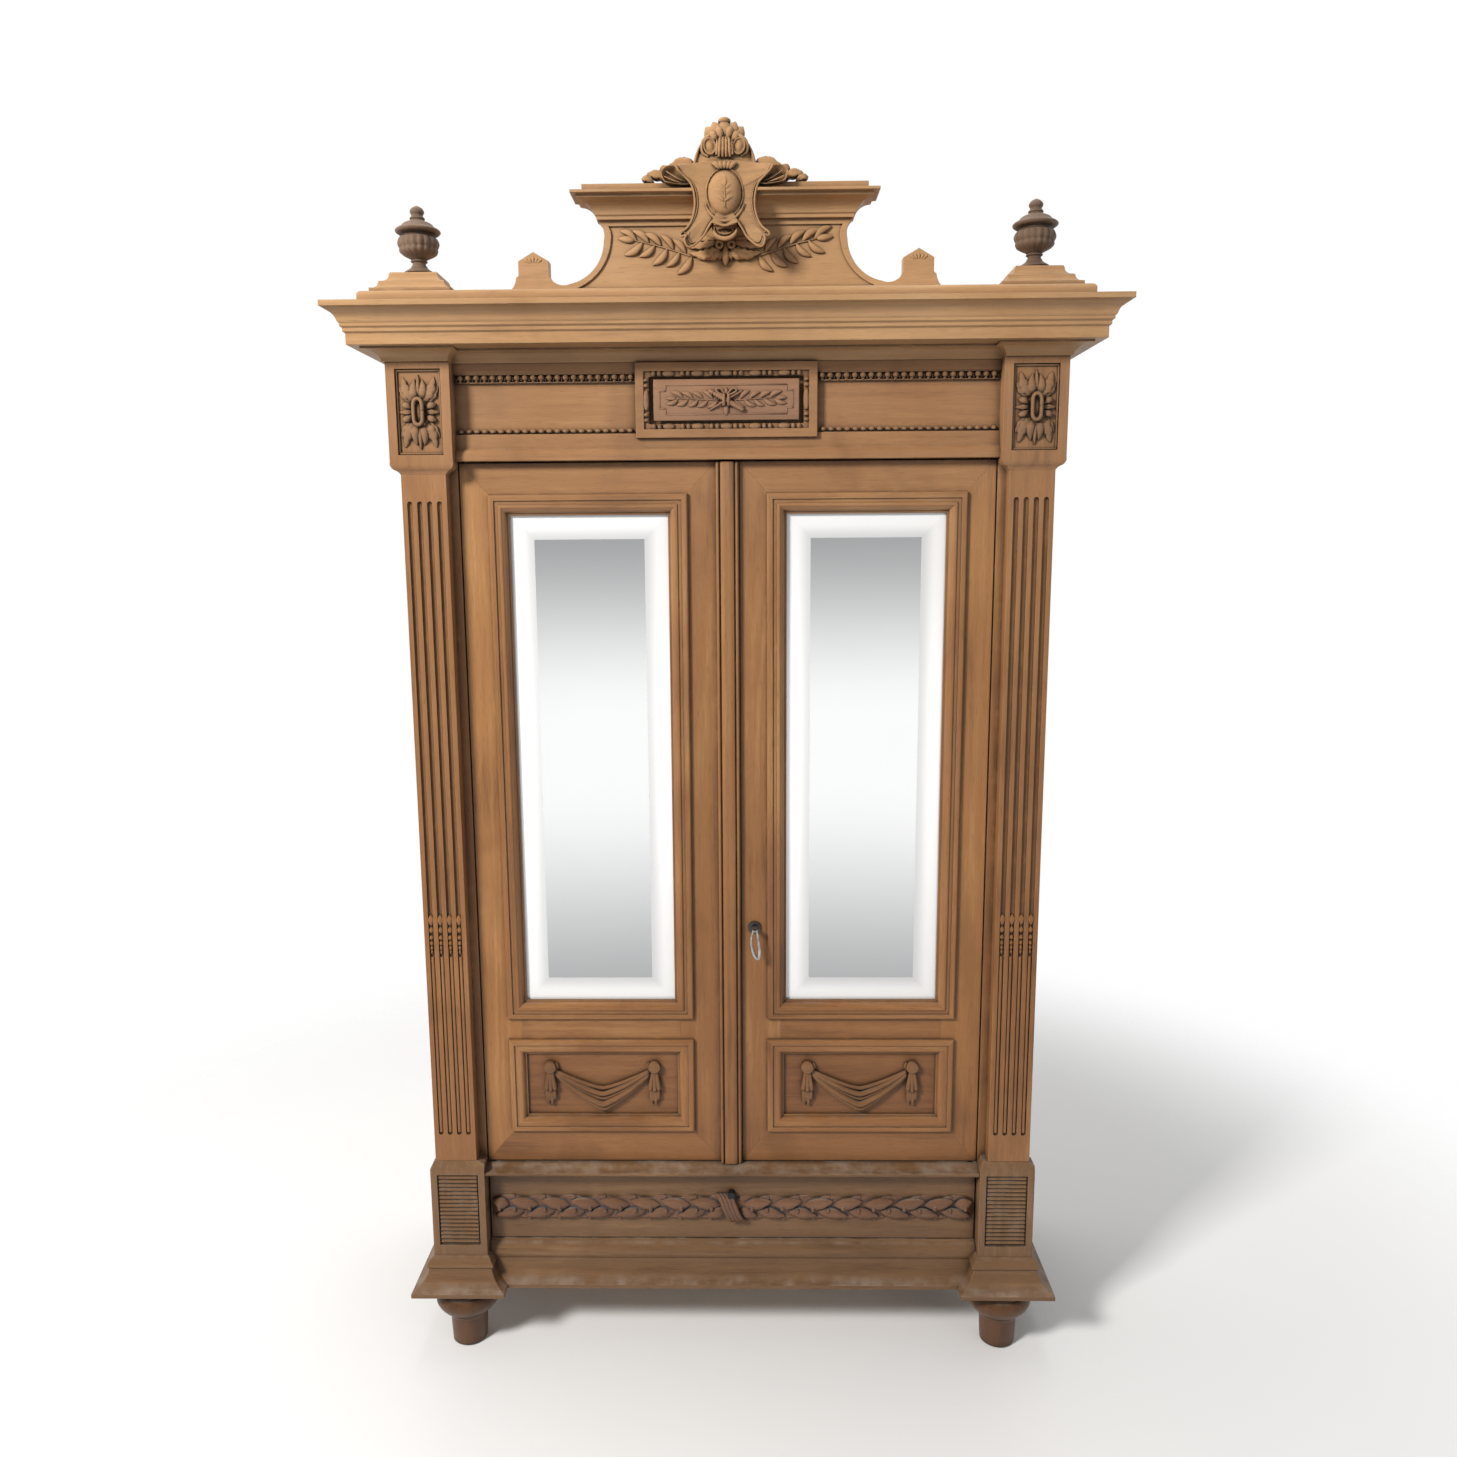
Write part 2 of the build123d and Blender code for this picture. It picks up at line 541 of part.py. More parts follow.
# ---------------------------------------------------------------- ledge, runners, shelf and rod
LEDGE_PROFILE = [
    (FACE + 50, FLOOR_BOTTOM), (FACE + 2, FLOOR_BOTTOM), (FACE - 3, 400), ((FACE - 6, 403.5), (FACE - 3, 407)),
    ((FACE + 14, 409), (FACE + 24, FLOOR_TOP)), (FACE + 50, FLOOR_TOP),
]
with BuildPart() as ledge_moulding:
    along_x(LEDGE_PROFILE, -OPENING_X, OPENING_X)
    for side, name in SIDES:
        bore_z(side * PIVOT_X, PIVOT_Y, 7, 400, FLOOR_TOP)
save(ledge_moulding, "ledge_moulding")

with BuildPart() as drawer_runners:
    for side, name in SIDES:
        block(side * 497, side * 530, FACE + 55, FACE + 470, 230, 244)
        block(side * 521, side * 530, FACE + 96, FACE + 470, 244, 262)
save(drawer_runners, "drawer_runners")

ROD_Y, ROD_Z, ROD_R = FACE + 265, 1665.0, 14.0
with BuildPart() as hat_shelf:
    block(-612, 612, FACE + 100, FACE + 434, 1720, 1740)
    for side, name in SIDES:
        block(side * 594, side * 614, FACE + 95, FACE + 435, 1700, 1720)
        block(side * 594, side * 614, ROD_Y - 22, ROD_Y + 22, 1638, 1700)
    with BuildSketch(Plane.YZ.offset(-620)):
        with Locations((ROD_Y, ROD_Z)):
            Circle(ROD_R + RUNNING_GAP)
    extrude(amount=1240, mode=Mode.SUBTRACT)
save(hat_shelf, "hat_shelf")

with BuildPart() as hanging_rod:
    with BuildSketch(Plane.YZ.offset(-612)):
        with Locations((ROD_Y, ROD_Z)):
            Circle(ROD_R)
            Circle(ROD_R - 1.5, mode=Mode.SUBTRACT)
    extrude(amount=1224)
save(hanging_rod, "hanging_rod")

# Bushes for the door pivots, and the keeper that the left door's top bolt shoots into.
with BuildPart() as case_fittings:
    for side, name in SIDES:
        for bottom, top in ((HEAD, 1914), (400, FLOOR_TOP)):
            bore_z(side * PIVOT_X, PIVOT_Y, 6.9, bottom, top, mode=Mode.ADD)
            bore_z(side * PIVOT_X, PIVOT_Y, PIVOT_R + RUNNING_GAP, bottom, top)
    block(-12, 12, FACE + 50, FACE + 76, 1903, 1921)
    bore_z(0, FACE + 66, 4.6, 1903, 1921)
save(case_fittings, "case_fittings")

# ---------------------------------------------------------------- doors
RING_LIP = 28.0  # how far each moulding laps over the frame round its opening
GLASS_RING = [
    (0, 0), (0, 5), ((2.5, 8.5), (7, 9)), (12, 9), (12, 6.5), (20, 6.5), (20, 8), ((24, 9.5), (28, 7)),
    ((33, 3), (36, -4)), (40, -4), (40, -9), (28, -9), (28, 0),
]
PANEL_RING = [
    (0, 0), (0, 5), ((2.5, 8.5), (7, 9)), (12, 9), (12, 6.5), (19, 6.5), ((28, 4), (32, -4)), (36, -4),
    (36, -9), (28, -9), (28, 0),
]
GARLAND = mirrored([
    (0, 562), ((52, 576), (94, 620)), (94, 642), ((54, 606), (0, 594)),
])
TAIL = [(94, 640), ((86, 600), (88, 558)), ((103, 550), (118, 558)), ((116, 600), (112, 640))]


def door_pivot_plates(side, mode):
    """The two let-in pivot plates of a door."""
    for bottom, top in ((DOOR_TOP - 4, DOOR_TOP), (DOOR_BOTTOM, DOOR_BOTTOM + 4)):
        block(side * 478, side * 526, DOOR_Y + 2, DOOR_Y + 20, bottom, top, mode)


for side, name in SIDES:
    # The left door carries the meeting strip, so it reaches past the middle; the right one stops short.
    meeting_x = -23.5 if side < 0 else 25.0
    mitre_x = 22.0 if side < 0 else 25.0
    outer_stile = [
        (528.5, DOOR_BOTTOM), (528.5, DOOR_TOP), (OPENING_OUT, GLASS_Z[1]), (OPENING_OUT, PANEL_Z[0]),
    ]
    inner_stile = [
        (meeting_x, DOOR_BOTTOM), (meeting_x, DOOR_TOP), (mitre_x, DOOR_TOP), (OPENING_IN, GLASS_Z[1]),
        (OPENING_IN, PANEL_Z[0]), (mitre_x, DOOR_BOTTOM),
    ]
    if meeting_x == mitre_x:
        inner_stile = [inner_stile[0], inner_stile[1], inner_stile[3], inner_stile[4]]
    with BuildPart() as stiles:
        for steps in (outer_stile, inner_stile):
            along_y(flip(steps, side), DOOR_Y, DOOR_Y + DOOR_T)
        door_pivot_plates(side, Mode.SUBTRACT)
        if side > 0:
            bore_y(KEY_X, KEY_Z, 3.5, DOOR_Y, DOOR_Y + DOOR_T)
    save(stiles, f"{name}_door_stiles")

    top_rail = [(mitre_x, DOOR_TOP), (528.5, DOOR_TOP), (OPENING_OUT, GLASS_Z[1]), (OPENING_IN, GLASS_Z[1])]
    foot_rail = [
        (mitre_x, DOOR_BOTTOM), (528.5, DOOR_BOTTOM), (OPENING_OUT, PANEL_Z[0]), (OPENING_IN, PANEL_Z[0]),
    ]
    lock_rail = [
        (OPENING_IN, PANEL_Z[1]), (OPENING_OUT, PANEL_Z[1]), (OPENING_OUT, GLASS_Z[0]), (OPENING_IN, GLASS_Z[0]),
    ]
    with BuildPart() as rails:
        for steps in (top_rail, foot_rail, lock_rail):
            along_y(flip(steps, side), DOOR_Y, DOOR_Y + DOOR_T)
        door_pivot_plates(side, Mode.SUBTRACT)
    save(rails, f"{name}_door_rails")

    with BuildPart() as mouldings:
        half = (OPENING_OUT - OPENING_IN) / 2 + RING_LIP
        rectangular_ring(GLASS_RING, side * DOOR_X, half, GLASS_Z[0] - RING_LIP, GLASS_Z[1] + RING_LIP)
        rectangular_ring(PANEL_RING, side * DOOR_X, half, PANEL_Z[0] - RING_LIP, PANEL_Z[1] + RING_LIP)
    save(mouldings, f"{name}_door_mouldings")

    with BuildPart() as glass:
        block(side * OPENING_IN, side * OPENING_OUT, DOOR_Y + 9, DOOR_Y + 14, *GLASS_Z)
        glass_face = glass.faces().sort_by(Axis.Y)[0]
        chamfer(glass_face.edges(), length=60, length2=3, reference=glass_face)
    save(glass, f"{name}_door_mirror")

    with BuildPart() as panels:
        block(side * OPENING_IN, side * OPENING_OUT, DOOR_Y + 14, DOOR_Y + 20, *GLASS_Z)
        block(side * OPENING_IN, side * OPENING_OUT, DOOR_Y + 9, DOOR_Y + 19, *PANEL_Z)
    save(panels, f"{name}_door_panels")

    with BuildPart() as swag:
        swag_y = DOOR_Y + 9
        along_y(spread(GARLAND, lambda x, z: (side * DOOR_X + x, z)), swag_y - 10, swag_y)
        for end in (-1, 1):
            tail = spread(flip(TAIL, end), lambda x, z: (side * DOOR_X + x, z))
            along_y(tail, swag_y - 10, swag_y)
            bore_y(side * DOOR_X + end * 103, 644, 15, swag_y - 14, swag_y, mode=Mode.ADD)
    save(swag, f"{name}_door_swag")

    with BuildPart() as pivots:
        door_pivot_plates(side, Mode.ADD)
        for bottom, top in ((DOOR_TOP - 4, 1912), (402, DOOR_BOTTOM + 4)):
            bore_z(side * PIVOT_X, PIVOT_Y, PIVOT_R, bottom, top, mode=Mode.ADD)
    save(pivots, f"{name}_door_pivots")

BATTEMENT = [
    (-22, DOOR_Y), (-22, DOOR_Y - 9), ((-19, DOOR_Y - 12.5), (-15.5, DOOR_Y - 9)), (-13, DOOR_Y - 8),
    (-13, DOOR_Y - 13), ((-8, DOOR_Y - 15), (0, DOOR_Y - 15)), ((8, DOOR_Y - 15), (13, DOOR_Y - 13)),
    (13, DOOR_Y - 8), (15.5, DOOR_Y - 9), ((19, DOOR_Y - 12.5), (22, DOOR_Y - 9)), (22, DOOR_Y),
]
with BuildPart() as battement:
    along_z(BATTEMENT, DOOR_BOTTOM - 1, DOOR_TOP - 1)
save(battement, "battement")

# ---------------------------------------------------------------- locks, bolts and key
DOOR_BACK = DOOR_Y + DOOR_T
BOLT_Y = FACE + 66
with BuildPart() as left_door_fittings:
    for height in (455, 560, 1750, 1868):
        block(-10, 10, DOOR_BACK, FACE + 72, height, height + 12)
        bore_z(0, BOLT_Y, 4.3, height, height + 12)
    block(-14, 22, DOOR_BACK, FACE + 70, 934, 982)
    block(6, 22, FACE + 60.4, FACE + 68.6, 948, 968, Mode.SUBTRACT)
save(left_door_fittings, "left_door_fittings")

for label, low, high, knob in (("top_bolt", 1740, 1893, 1790), ("bottom_bolt", 421, 582, 530)):
    with BuildPart() as flush_bolt:
        bore_z(0, BOLT_Y, 4, low, high, mode=Mode.ADD)
        bore_z(0, BOLT_Y, 6.5, knob, knob + 10, mode=Mode.ADD)
    save(flush_bolt, f"left_door_{label}")

with BuildPart() as right_door_lock:
    block(27, 92, DOOR_BACK, FACE + 70, 900, 990)
    block(30, 89, DOOR_BACK, FACE + 68.5, 903, 987, Mode.SUBTRACT)
    block(27, 30, FACE + 60.7, FACE + 67.3, 949.5, 966.5, Mode.SUBTRACT)
    with BuildSketch(Plane.XZ.offset(-DOOR_Y)):
        with Locations((KEY_X, KEY_Z)):
            Circle(13.5)
            Circle(4.2, mode=Mode.SUBTRACT)
    extrude(amount=2.5)
save(right_door_lock, "right_door_lock")

with BuildPart() as right_door_lock_bolt:
    block(27.5, 70, FACE + 61, FACE + 67, 950, 966)
save(right_door_lock_bolt, "right_door_lock_bolt")

BOW_Y = FACE + 5
with BuildPart() as key:
    bore_y(KEY_X, KEY_Z, 3, FACE + 14, FACE + 67, mode=Mode.ADD)
    bore_y(KEY_X, KEY_Z, 5.5, FACE + 20, FACE + 24, mode=Mode.ADD)
    block(KEY_X - 1.5, KEY_X + 1.5, FACE + 61, FACE + 66, KEY_Z - 14, KEY_Z)
    block(KEY_X - 6, KEY_X + 6, FACE + 10, FACE + 14, KEY_Z - 4, KEY_Z + 4)
    for side, name in SIDES:
        block(KEY_X + side * 3, KEY_X + side * 6, FACE + 2, FACE + 10, KEY_Z - 4, KEY_Z + 4)
    with BuildSketch(Plane.YZ.offset(KEY_X - 6)):
        with Locations((BOW_Y, KEY_Z)):
            Circle(1.5)
    extrude(amount=12)
save(key, "key")

with BuildPart() as key_bow:
    with BuildSketch(Plane.YZ.offset(KEY_X - 2.7)):
        with Locations((BOW_Y, KEY_Z)):
            Circle(3.6)
        with Locations((BOW_Y, KEY_Z - 6)):
            Rectangle(4, 8)
        with Locations((BOW_Y, KEY_Z)):
            Circle(1.5 + RUNNING_GAP, mode=Mode.SUBTRACT)
    extrude(amount=5.4)
    with BuildSketch(Plane.XZ.offset(-BOW_Y - 2)):
        with Locations((KEY_X, KEY_Z - 34)):
            SlotOverall(54, 20, rotation=90)
        with Locations((KEY_X, KEY_Z - 34)):
            SlotOverall(44, 10, rotation=90, mode=Mode.SUBTRACT)
    extrude(amount=4)
save(key_bow, "key_bow")

# ---------------------------------------------------------------- drawer
DRAWER_Y = FACE + 28
with BuildPart() as drawer_front:
    block(-527, 527, DRAWER_Y, FACE + 50, DRAWER_BOTTOM, DRAWER_TOP)
save(drawer_front, "drawer_front")

LAUREL_PROFILE = [(DRAWER_Y, 284), (DRAWER_Y - 5, 286), ((DRAWER_Y - 20, 311), (DRAWER_Y - 5, 336)), (DRAWER_Y, 338)]
with BuildPart() as drawer_laurel:
    along_x(LAUREL_PROFILE, -527, 527)
    block(-9, 9, DRAWER_Y - 30, DRAWER_Y, 321, 345, Mode.SUBTRACT)
save(drawer_laurel, "drawer_laurel")

with BuildPart() as drawer_box:
    for side, name in SIDES:
        block(side * 505, side * 519, FACE + 50, FACE + 460, 244.5, 380)
    block(-504.9, 504.9, FACE + 446, FACE + 460, 257.1, 372)
    block(-504.9, 504.9, FACE + 50, FACE + 460, 250, 257)
save(drawer_box, "drawer_box")

with BuildPart() as drawer_lock:
    block(-30, 30, FACE + 50, FACE + 60, 345, 393)
    block(-9.3, 9.3, FACE + 52, FACE + 57, 366, 393, Mode.SUBTRACT)
    with BuildSketch(Plane.XZ.offset(-DRAWER_Y)):
        with Locations((0, 338)):
            SlotOverall(29, 15, rotation=90)
    extrude(amount=15)
save(drawer_lock, "drawer_lock")

with BuildPart() as drawer_lock_bolt:
    block(-9, 9, FACE + 52.3, FACE + 56.7, 368, 392.5)
save(drawer_lock_bolt, "drawer_lock_bolt")
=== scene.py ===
"""Walnut armoire: materials, carved ornament and studio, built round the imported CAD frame.

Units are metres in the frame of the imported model: the doors face -Y, +Z is up and the floor is z = 0.
Carved ornament is worked out in millimetres in a local frame (u right, v up, w out of the front)
and turned into metres when a piece is made.
"""
import math

import bpy
import numpy as np
from mathutils import Matrix, Vector


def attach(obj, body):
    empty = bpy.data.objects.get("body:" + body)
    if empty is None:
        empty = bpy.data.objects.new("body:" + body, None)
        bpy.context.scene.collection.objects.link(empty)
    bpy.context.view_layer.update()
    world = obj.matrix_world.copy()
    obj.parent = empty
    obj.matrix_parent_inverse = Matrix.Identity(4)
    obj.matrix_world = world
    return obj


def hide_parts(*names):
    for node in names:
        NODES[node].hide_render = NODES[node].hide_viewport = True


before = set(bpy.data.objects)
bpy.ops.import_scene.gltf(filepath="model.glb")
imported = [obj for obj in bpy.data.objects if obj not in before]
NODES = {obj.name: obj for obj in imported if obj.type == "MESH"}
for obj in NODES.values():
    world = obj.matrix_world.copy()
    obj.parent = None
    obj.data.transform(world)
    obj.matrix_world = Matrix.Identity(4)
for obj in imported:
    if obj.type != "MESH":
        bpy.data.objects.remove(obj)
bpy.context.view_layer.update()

FACE = -203.0  # y of the front plane of the case, in millimetres

# Openings of the doors in metres, as middle and half size: both are as wide, round |x| = DOOR_MIDDLE.
DOOR_MIDDLE, OPENING_HALF = 0.276, 0.170
GLASS_MIDDLE, GLASS_HALF = 1.289, 0.519
PANEL_MIDDLE, PANEL_HALF = 0.591, 0.077
BEVEL = 0.060

# Tints over the timber: painted shade low down, painted light on the upper part, and settled dust.
LOW_PAINTED_SHADE = (0.86, 0.80, 0.74, 1.0)
TOP_PAINTED_LIGHT = (0.60, 0.45, 0.31, 1.0)
SETTLED_DUST = (0.46, 0.41, 0.35, 1.0)


# ---------------------------------------------------------------- node helpers
def put(tree, kind, inputs=None, **settings):
    """Adds one node, sets its properties, and links or sets its inputs."""
    node = tree.nodes.new(kind)
    for name, value in settings.items():
        setattr(node, name, value)
    for key, value in (inputs or {}).items():
        if isinstance(value, bpy.types.NodeSocket):
            tree.links.new(value, node.inputs[key])
        else:
            node.inputs[key].default_value = value
    return node


def calc(tree, operation, *values, clamp=False):
    """One Math node."""
    return put(tree, "ShaderNodeMath", dict(enumerate(values)), operation=operation, use_clamp=clamp).outputs[0]


def vector_calc(tree, operation, *values):
    """One Vector Math node."""
    out = "Value" if operation in ("DOT_PRODUCT", "LENGTH") else "Vector"
    return put(tree, "ShaderNodeVectorMath", dict(enumerate(values)), operation=operation).outputs[out]


def blend(tree, factor, a, b, mode="MIX", kind="RGBA"):
    """One Mix node on colours, or on vectors."""
    base = 6 if kind == "RGBA" else 4
    node = put(tree, "ShaderNodeMix", data_type=kind)
    if kind == "RGBA":
        node.blend_type = mode
    for index, value in ((0, factor), (base, a), (base + 1, b)):
        if isinstance(value, bpy.types.NodeSocket):
            tree.links.new(value, node.inputs[index])
        else:
            node.inputs[index].default_value = value
    return node.outputs[2 if kind == "RGBA" else 1]


def noise(tree, vector, scale, detail=2.0, rough=0.5, twist=0.0):
    """One Noise node, as a value round 0.5."""
    values = {"Vector": vector, "Scale": scale, "Detail": detail, "Roughness": rough, "Distortion": twist}
    return put(tree, "ShaderNodeTexNoise", values).outputs["Fac"]


def ramp(tree, value, low_end, high_end):
    """Smooth step of value from 0 at low_end to 1 at high_end."""
    values = {"Value": value, "From Min": low_end, "From Max": high_end}
    return put(tree, "ShaderNodeMapRange", values, interpolation_type="SMOOTHSTEP").outputs[0]


def group(name, inputs, outputs):
    """A shader node group with the given sockets; returns the tree, its input sockets and its output node."""
    tree = bpy.data.node_groups.new(name, "ShaderNodeTree")
    kinds = {"value": "NodeSocketFloat", "colour": "NodeSocketColor", "vector": "NodeSocketVector"}
    for label, kind in inputs.items():
        tree.interface.new_socket(label, in_out="INPUT", socket_type=kinds[kind])
    for label, kind in outputs.items():
        tree.interface.new_socket(label, in_out="OUTPUT", socket_type=kinds[kind])
    return tree, tree.nodes.new("NodeGroupInput").outputs, tree.nodes.new("NodeGroupOutput")


# ---------------------------------------------------------------- shared effects
def make_surroundings():
    """Crevice, edge and upward masks of any surface, with a softened normal for its edges."""
    tree, given, out = group(
        "surroundings", {"Reach": "value"}, {"Crevice": "value", "Edge": "value", "Up": "value", "Normal": "vector"}
    )
    # Crevice mask from ambient occlusion: it marks where shade falls, and the materials darken it as painted shade and
    # grime.
    near = put(tree, "ShaderNodeAmbientOcclusion", {"Distance": given["Reach"]}, samples=6)
    crevice = ramp(tree, near.outputs["AO"], 0.92, 0.38)
    soft = put(tree, "ShaderNodeBevel", {"Radius": 0.0022}, samples=4).outputs[0]
    plain = put(tree, "ShaderNodeNewGeometry").outputs["Normal"]
    turned = vector_calc(tree, "DOT_PRODUCT", soft, plain)
    edge = ramp(tree, turned, 0.985, 0.8)
    up = put(tree, "ShaderNodeSeparateXYZ", {0: plain}).outputs[2]
    for label, value in (("Crevice", crevice), ("Edge", edge), ("Up", ramp(tree, up, 0.55, 0.98)), ("Normal", soft)):
        tree.links.new(value, out.inputs[label])
    return tree


def make_timber():
    """Wood grain along Z, or along X and round the corners: streaks, rings, pores and slow changes of tone."""
    tree, given, out = group(
        "timber",
        {
            "Light": "colour", "Mid": "colour", "Dark": "colour",
            "Across": "value", "Figure": "value", "Seed": "value",
        },
        {"Color": "colour", "Height": "value", "Sheen": "value"},
    )
    place = put(tree, "ShaderNodeTexCoord")
    face = put(tree, "ShaderNodeSeparateXYZ", {0: place.outputs["Normal"]}).outputs[0]
    flank = calc(tree, "GREATER_THAN", calc(tree, "ABSOLUTE", face), 0.72)
    across = blend(tree, flank, (0.05, 1.0, 1.0), (1.0, 0.05, 1.0), kind="VECTOR")
    stretch = blend(tree, given["Across"], (1.0, 1.0, 0.05), across, kind="VECTOR")
    shift = put(tree, "ShaderNodeCombineXYZ", {0: given["Seed"], 1: given["Seed"], 2: given["Seed"]}).outputs[0]
    moved = vector_calc(tree, "ADD", place.outputs["Object"], shift)
    grain = vector_calc(tree, "MULTIPLY", moved, stretch)
    fine = noise(tree, grain, 420.0, 3.0, 0.65)
    bands = noise(tree, grain, 95.0, 3.0, 0.6, 0.3)
    wide = noise(tree, grain, 9.0, 1.0, 0.5, 0.5)
    rings = calc(tree, "SINE", calc(tree, "MULTIPLY", wide, 74.0))
    rings = calc(tree, "MULTIPLY", calc(tree, "MULTIPLY", rings, given["Figure"]), 0.045)
    pores = ramp(tree, noise(tree, grain, 700.0, 1.0, 0.5), 0.6, 0.72)
    broad = noise(tree, moved, 2.6, 2.0, 0.55)
    tone = calc(tree, "MULTIPLY_ADD", fine, 0.32, calc(tree, "MULTIPLY", bands, 0.38))
    tone = calc(tree, "ADD", tone, rings)
    tone = calc(tree, "ADD", tone, calc(tree, "MULTIPLY_ADD", broad, 0.7, -0.2))
    dark_part = blend(tree, ramp(tree, tone, 0.18, 0.5), given["Dark"], given["Mid"])
    colour = blend(tree, ramp(tree, tone, 0.48, 0.82), dark_part, given["Light"])
    colour = blend(tree, calc(tree, "MULTIPLY", pores, 0.45), colour, given["Dark"])
    drawn = vector_calc(tree, "MULTIPLY", moved, (1.0, 1.0, 0.6))
    stain = ramp(tree, noise(tree, drawn, 5.0, 3.0, 0.6, 0.6), 0.52, 0.7)
    colour = blend(tree, calc(tree, "MULTIPLY", stain, 0.4), colour, given["Dark"])
    height = calc(tree, "SUBTRACT", calc(tree, "MULTIPLY", fine, 0.6), calc(tree, "MULTIPLY", pores, 0.5))
    tree.links.new(colour, out.inputs["Color"])
    tree.links.new(height, out.inputs["Height"])
    tree.links.new(bands, out.inputs["Sheen"])
    return tree


SURROUNDINGS = make_surroundings()
TIMBER = make_timber()


def new_material(name):
    """An empty material and its Principled node."""
    made = bpy.data.materials.new(name)
    made.use_nodes = True
    return made, made.node_tree, made.node_tree.nodes["Principled BSDF"]


def beyond(tree, value, middle, half):
    """|value - middle| - half: how far a value is outside a span, negative inside it."""
    return calc(tree, "SUBTRACT", calc(tree, "ABSOLUTE", calc(tree, "SUBTRACT", value, middle)), half)


def mitred(tree, place):
    """1 on the level lengths of the door mouldings, 0 on the upright ones, changing at their mitres.

    Level is where a point is further beyond its opening's height than beyond its width.
    """
    x, _, z = put(tree, "ShaderNodeSeparateXYZ", {0: place}).outputs
    aside = beyond(tree, calc(tree, "ABSOLUTE", x), DOOR_MIDDLE, OPENING_HALF)
    glass = beyond(tree, z, GLASS_MIDDLE, GLASS_HALF)
    panel = beyond(tree, z, PANEL_MIDDLE, PANEL_HALF)
    return calc(tree, "GREATER_THAN", calc(tree, "MINIMUM", glass, panel), aside)


def wood(name, light, mid, dark, across, seed, figure=1.0, shade_and_grime_strength=0.8, wear_and_highlight_strength=0.5, dust=0.15,
         shade_and_grime_colour=(0.035, 0.022, 0.014), gloss=0.42, shade=None, reach=0.022, top_light_strength=0.34):
    """Waxed timber with painted shade and grime in its crevices, edges lightened by wear and a painted highlight, dust
    on what faces up, painted shade low down and painted light at the top.

    across is 0 for grain along Z, 1 for grain along X, or "mitred". shade is (axis, from, to, tint), a tint that
    comes in from one distance along the axis to another. The last argument sets how strong the painted light at the top
    is.
    """
    made, tree, skin = new_material(name)
    timber = put(tree, "ShaderNodeGroup", node_tree=TIMBER)
    for label, value in (("Light", light), ("Mid", mid), ("Dark", dark)):
        timber.inputs[label].default_value = (*value, 1.0)
    timber.inputs["Across"].default_value = 0.0 if across == "mitred" else across
    timber.inputs["Figure"].default_value = figure
    timber.inputs["Seed"].default_value = seed
    around = put(tree, "ShaderNodeGroup", node_tree=SURROUNDINGS)
    around.inputs["Reach"].default_value = reach
    place = put(tree, "ShaderNodeTexCoord").outputs["Object"]
    if across == "mitred":
        tree.links.new(mitred(tree, place), timber.inputs["Across"])
    colour = timber.outputs["Color"]
    if shade is not None:
        where, first, second, tint = shade
        value = put(tree, "ShaderNodeSeparateXYZ", {0: place}).outputs[where]
        colour = blend(tree, ramp(tree, calc(tree, "ABSOLUTE", value), first, second), colour, tint, "MULTIPLY")
    tall = put(tree, "ShaderNodeSeparateXYZ", {0: place}).outputs[2]
    # Painted shade: darker towards the bottom, where less light reaches.
    colour = blend(tree, ramp(tree, tall, 1.6, 0.5), colour, LOW_PAINTED_SHADE, "MULTIPLY")
    # Painted light: patchy and paler towards the top, as the light falls from above.
    top_light_amount = calc(tree, "MULTIPLY", noise(tree, place, 3.5, 2.0), top_light_strength)
    colour = blend(tree, calc(tree, "MULTIPLY", ramp(tree, tall, 1.5, 2.4), top_light_amount), colour, TOP_PAINTED_LIGHT)
    patchy = noise(tree, place, 26.0, 3.0, 0.6)
    # Edges lightened in patches: wear, and a painted highlight along the edges.
    wear_and_edge_highlight = calc(tree, "MULTIPLY", around.outputs["Edge"], ramp(tree, patchy, 0.32, 0.66))
    pale = tuple(min(1.0, c * 1.25 + 0.05) for c in light)
    colour = blend(tree, calc(tree, "MULTIPLY", wear_and_edge_highlight, wear_and_highlight_strength), colour, (*pale, 1.0))
    # Painted shade and grime: crevices found by ambient occlusion, broken up by patchy noise, darkened towards a
    # near-black colour.
    crevice_shade_and_grime = calc(tree, "MULTIPLY", around.outputs["Crevice"], ramp(tree, patchy, 0.1, 0.55))
    crevice_shade_and_grime = calc(tree, "MULTIPLY", crevice_shade_and_grime, shade_and_grime_strength, clamp=True)
    colour = blend(tree, crevice_shade_and_grime, colour, (*shade_and_grime_colour, 1.0))
    settled = calc(tree, "MULTIPLY", around.outputs["Up"], ramp(tree, patchy, 0.3, 0.8))
    colour = blend(tree, calc(tree, "MULTIPLY", settled, dust), colour, SETTLED_DUST)
    tree.links.new(colour, skin.inputs["Base Color"])
    rough = calc(tree, "MULTIPLY_ADD", timber.outputs["Sheen"], 0.22, gloss - 0.11)
    rough = calc(tree, "MULTIPLY_ADD", crevice_shade_and_grime, 0.3, rough, clamp=True)
    tree.links.new(rough, skin.inputs["Roughness"])
    bump = put(
        tree, "ShaderNodeBump",
        {"Strength": 0.35, "Distance": 0.0006, "Height": timber.outputs["Height"], "Normal": around.outputs["Normal"]},
    )
    tree.links.new(bump.outputs[0], skin.inputs["Normal"])
    skin.inputs["Specular IOR Level"].default_value = 0.38
    skin.inputs["Coat Weight"].default_value = 0.04
    skin.inputs["Coat Roughness"].default_value = 0.3
    return made


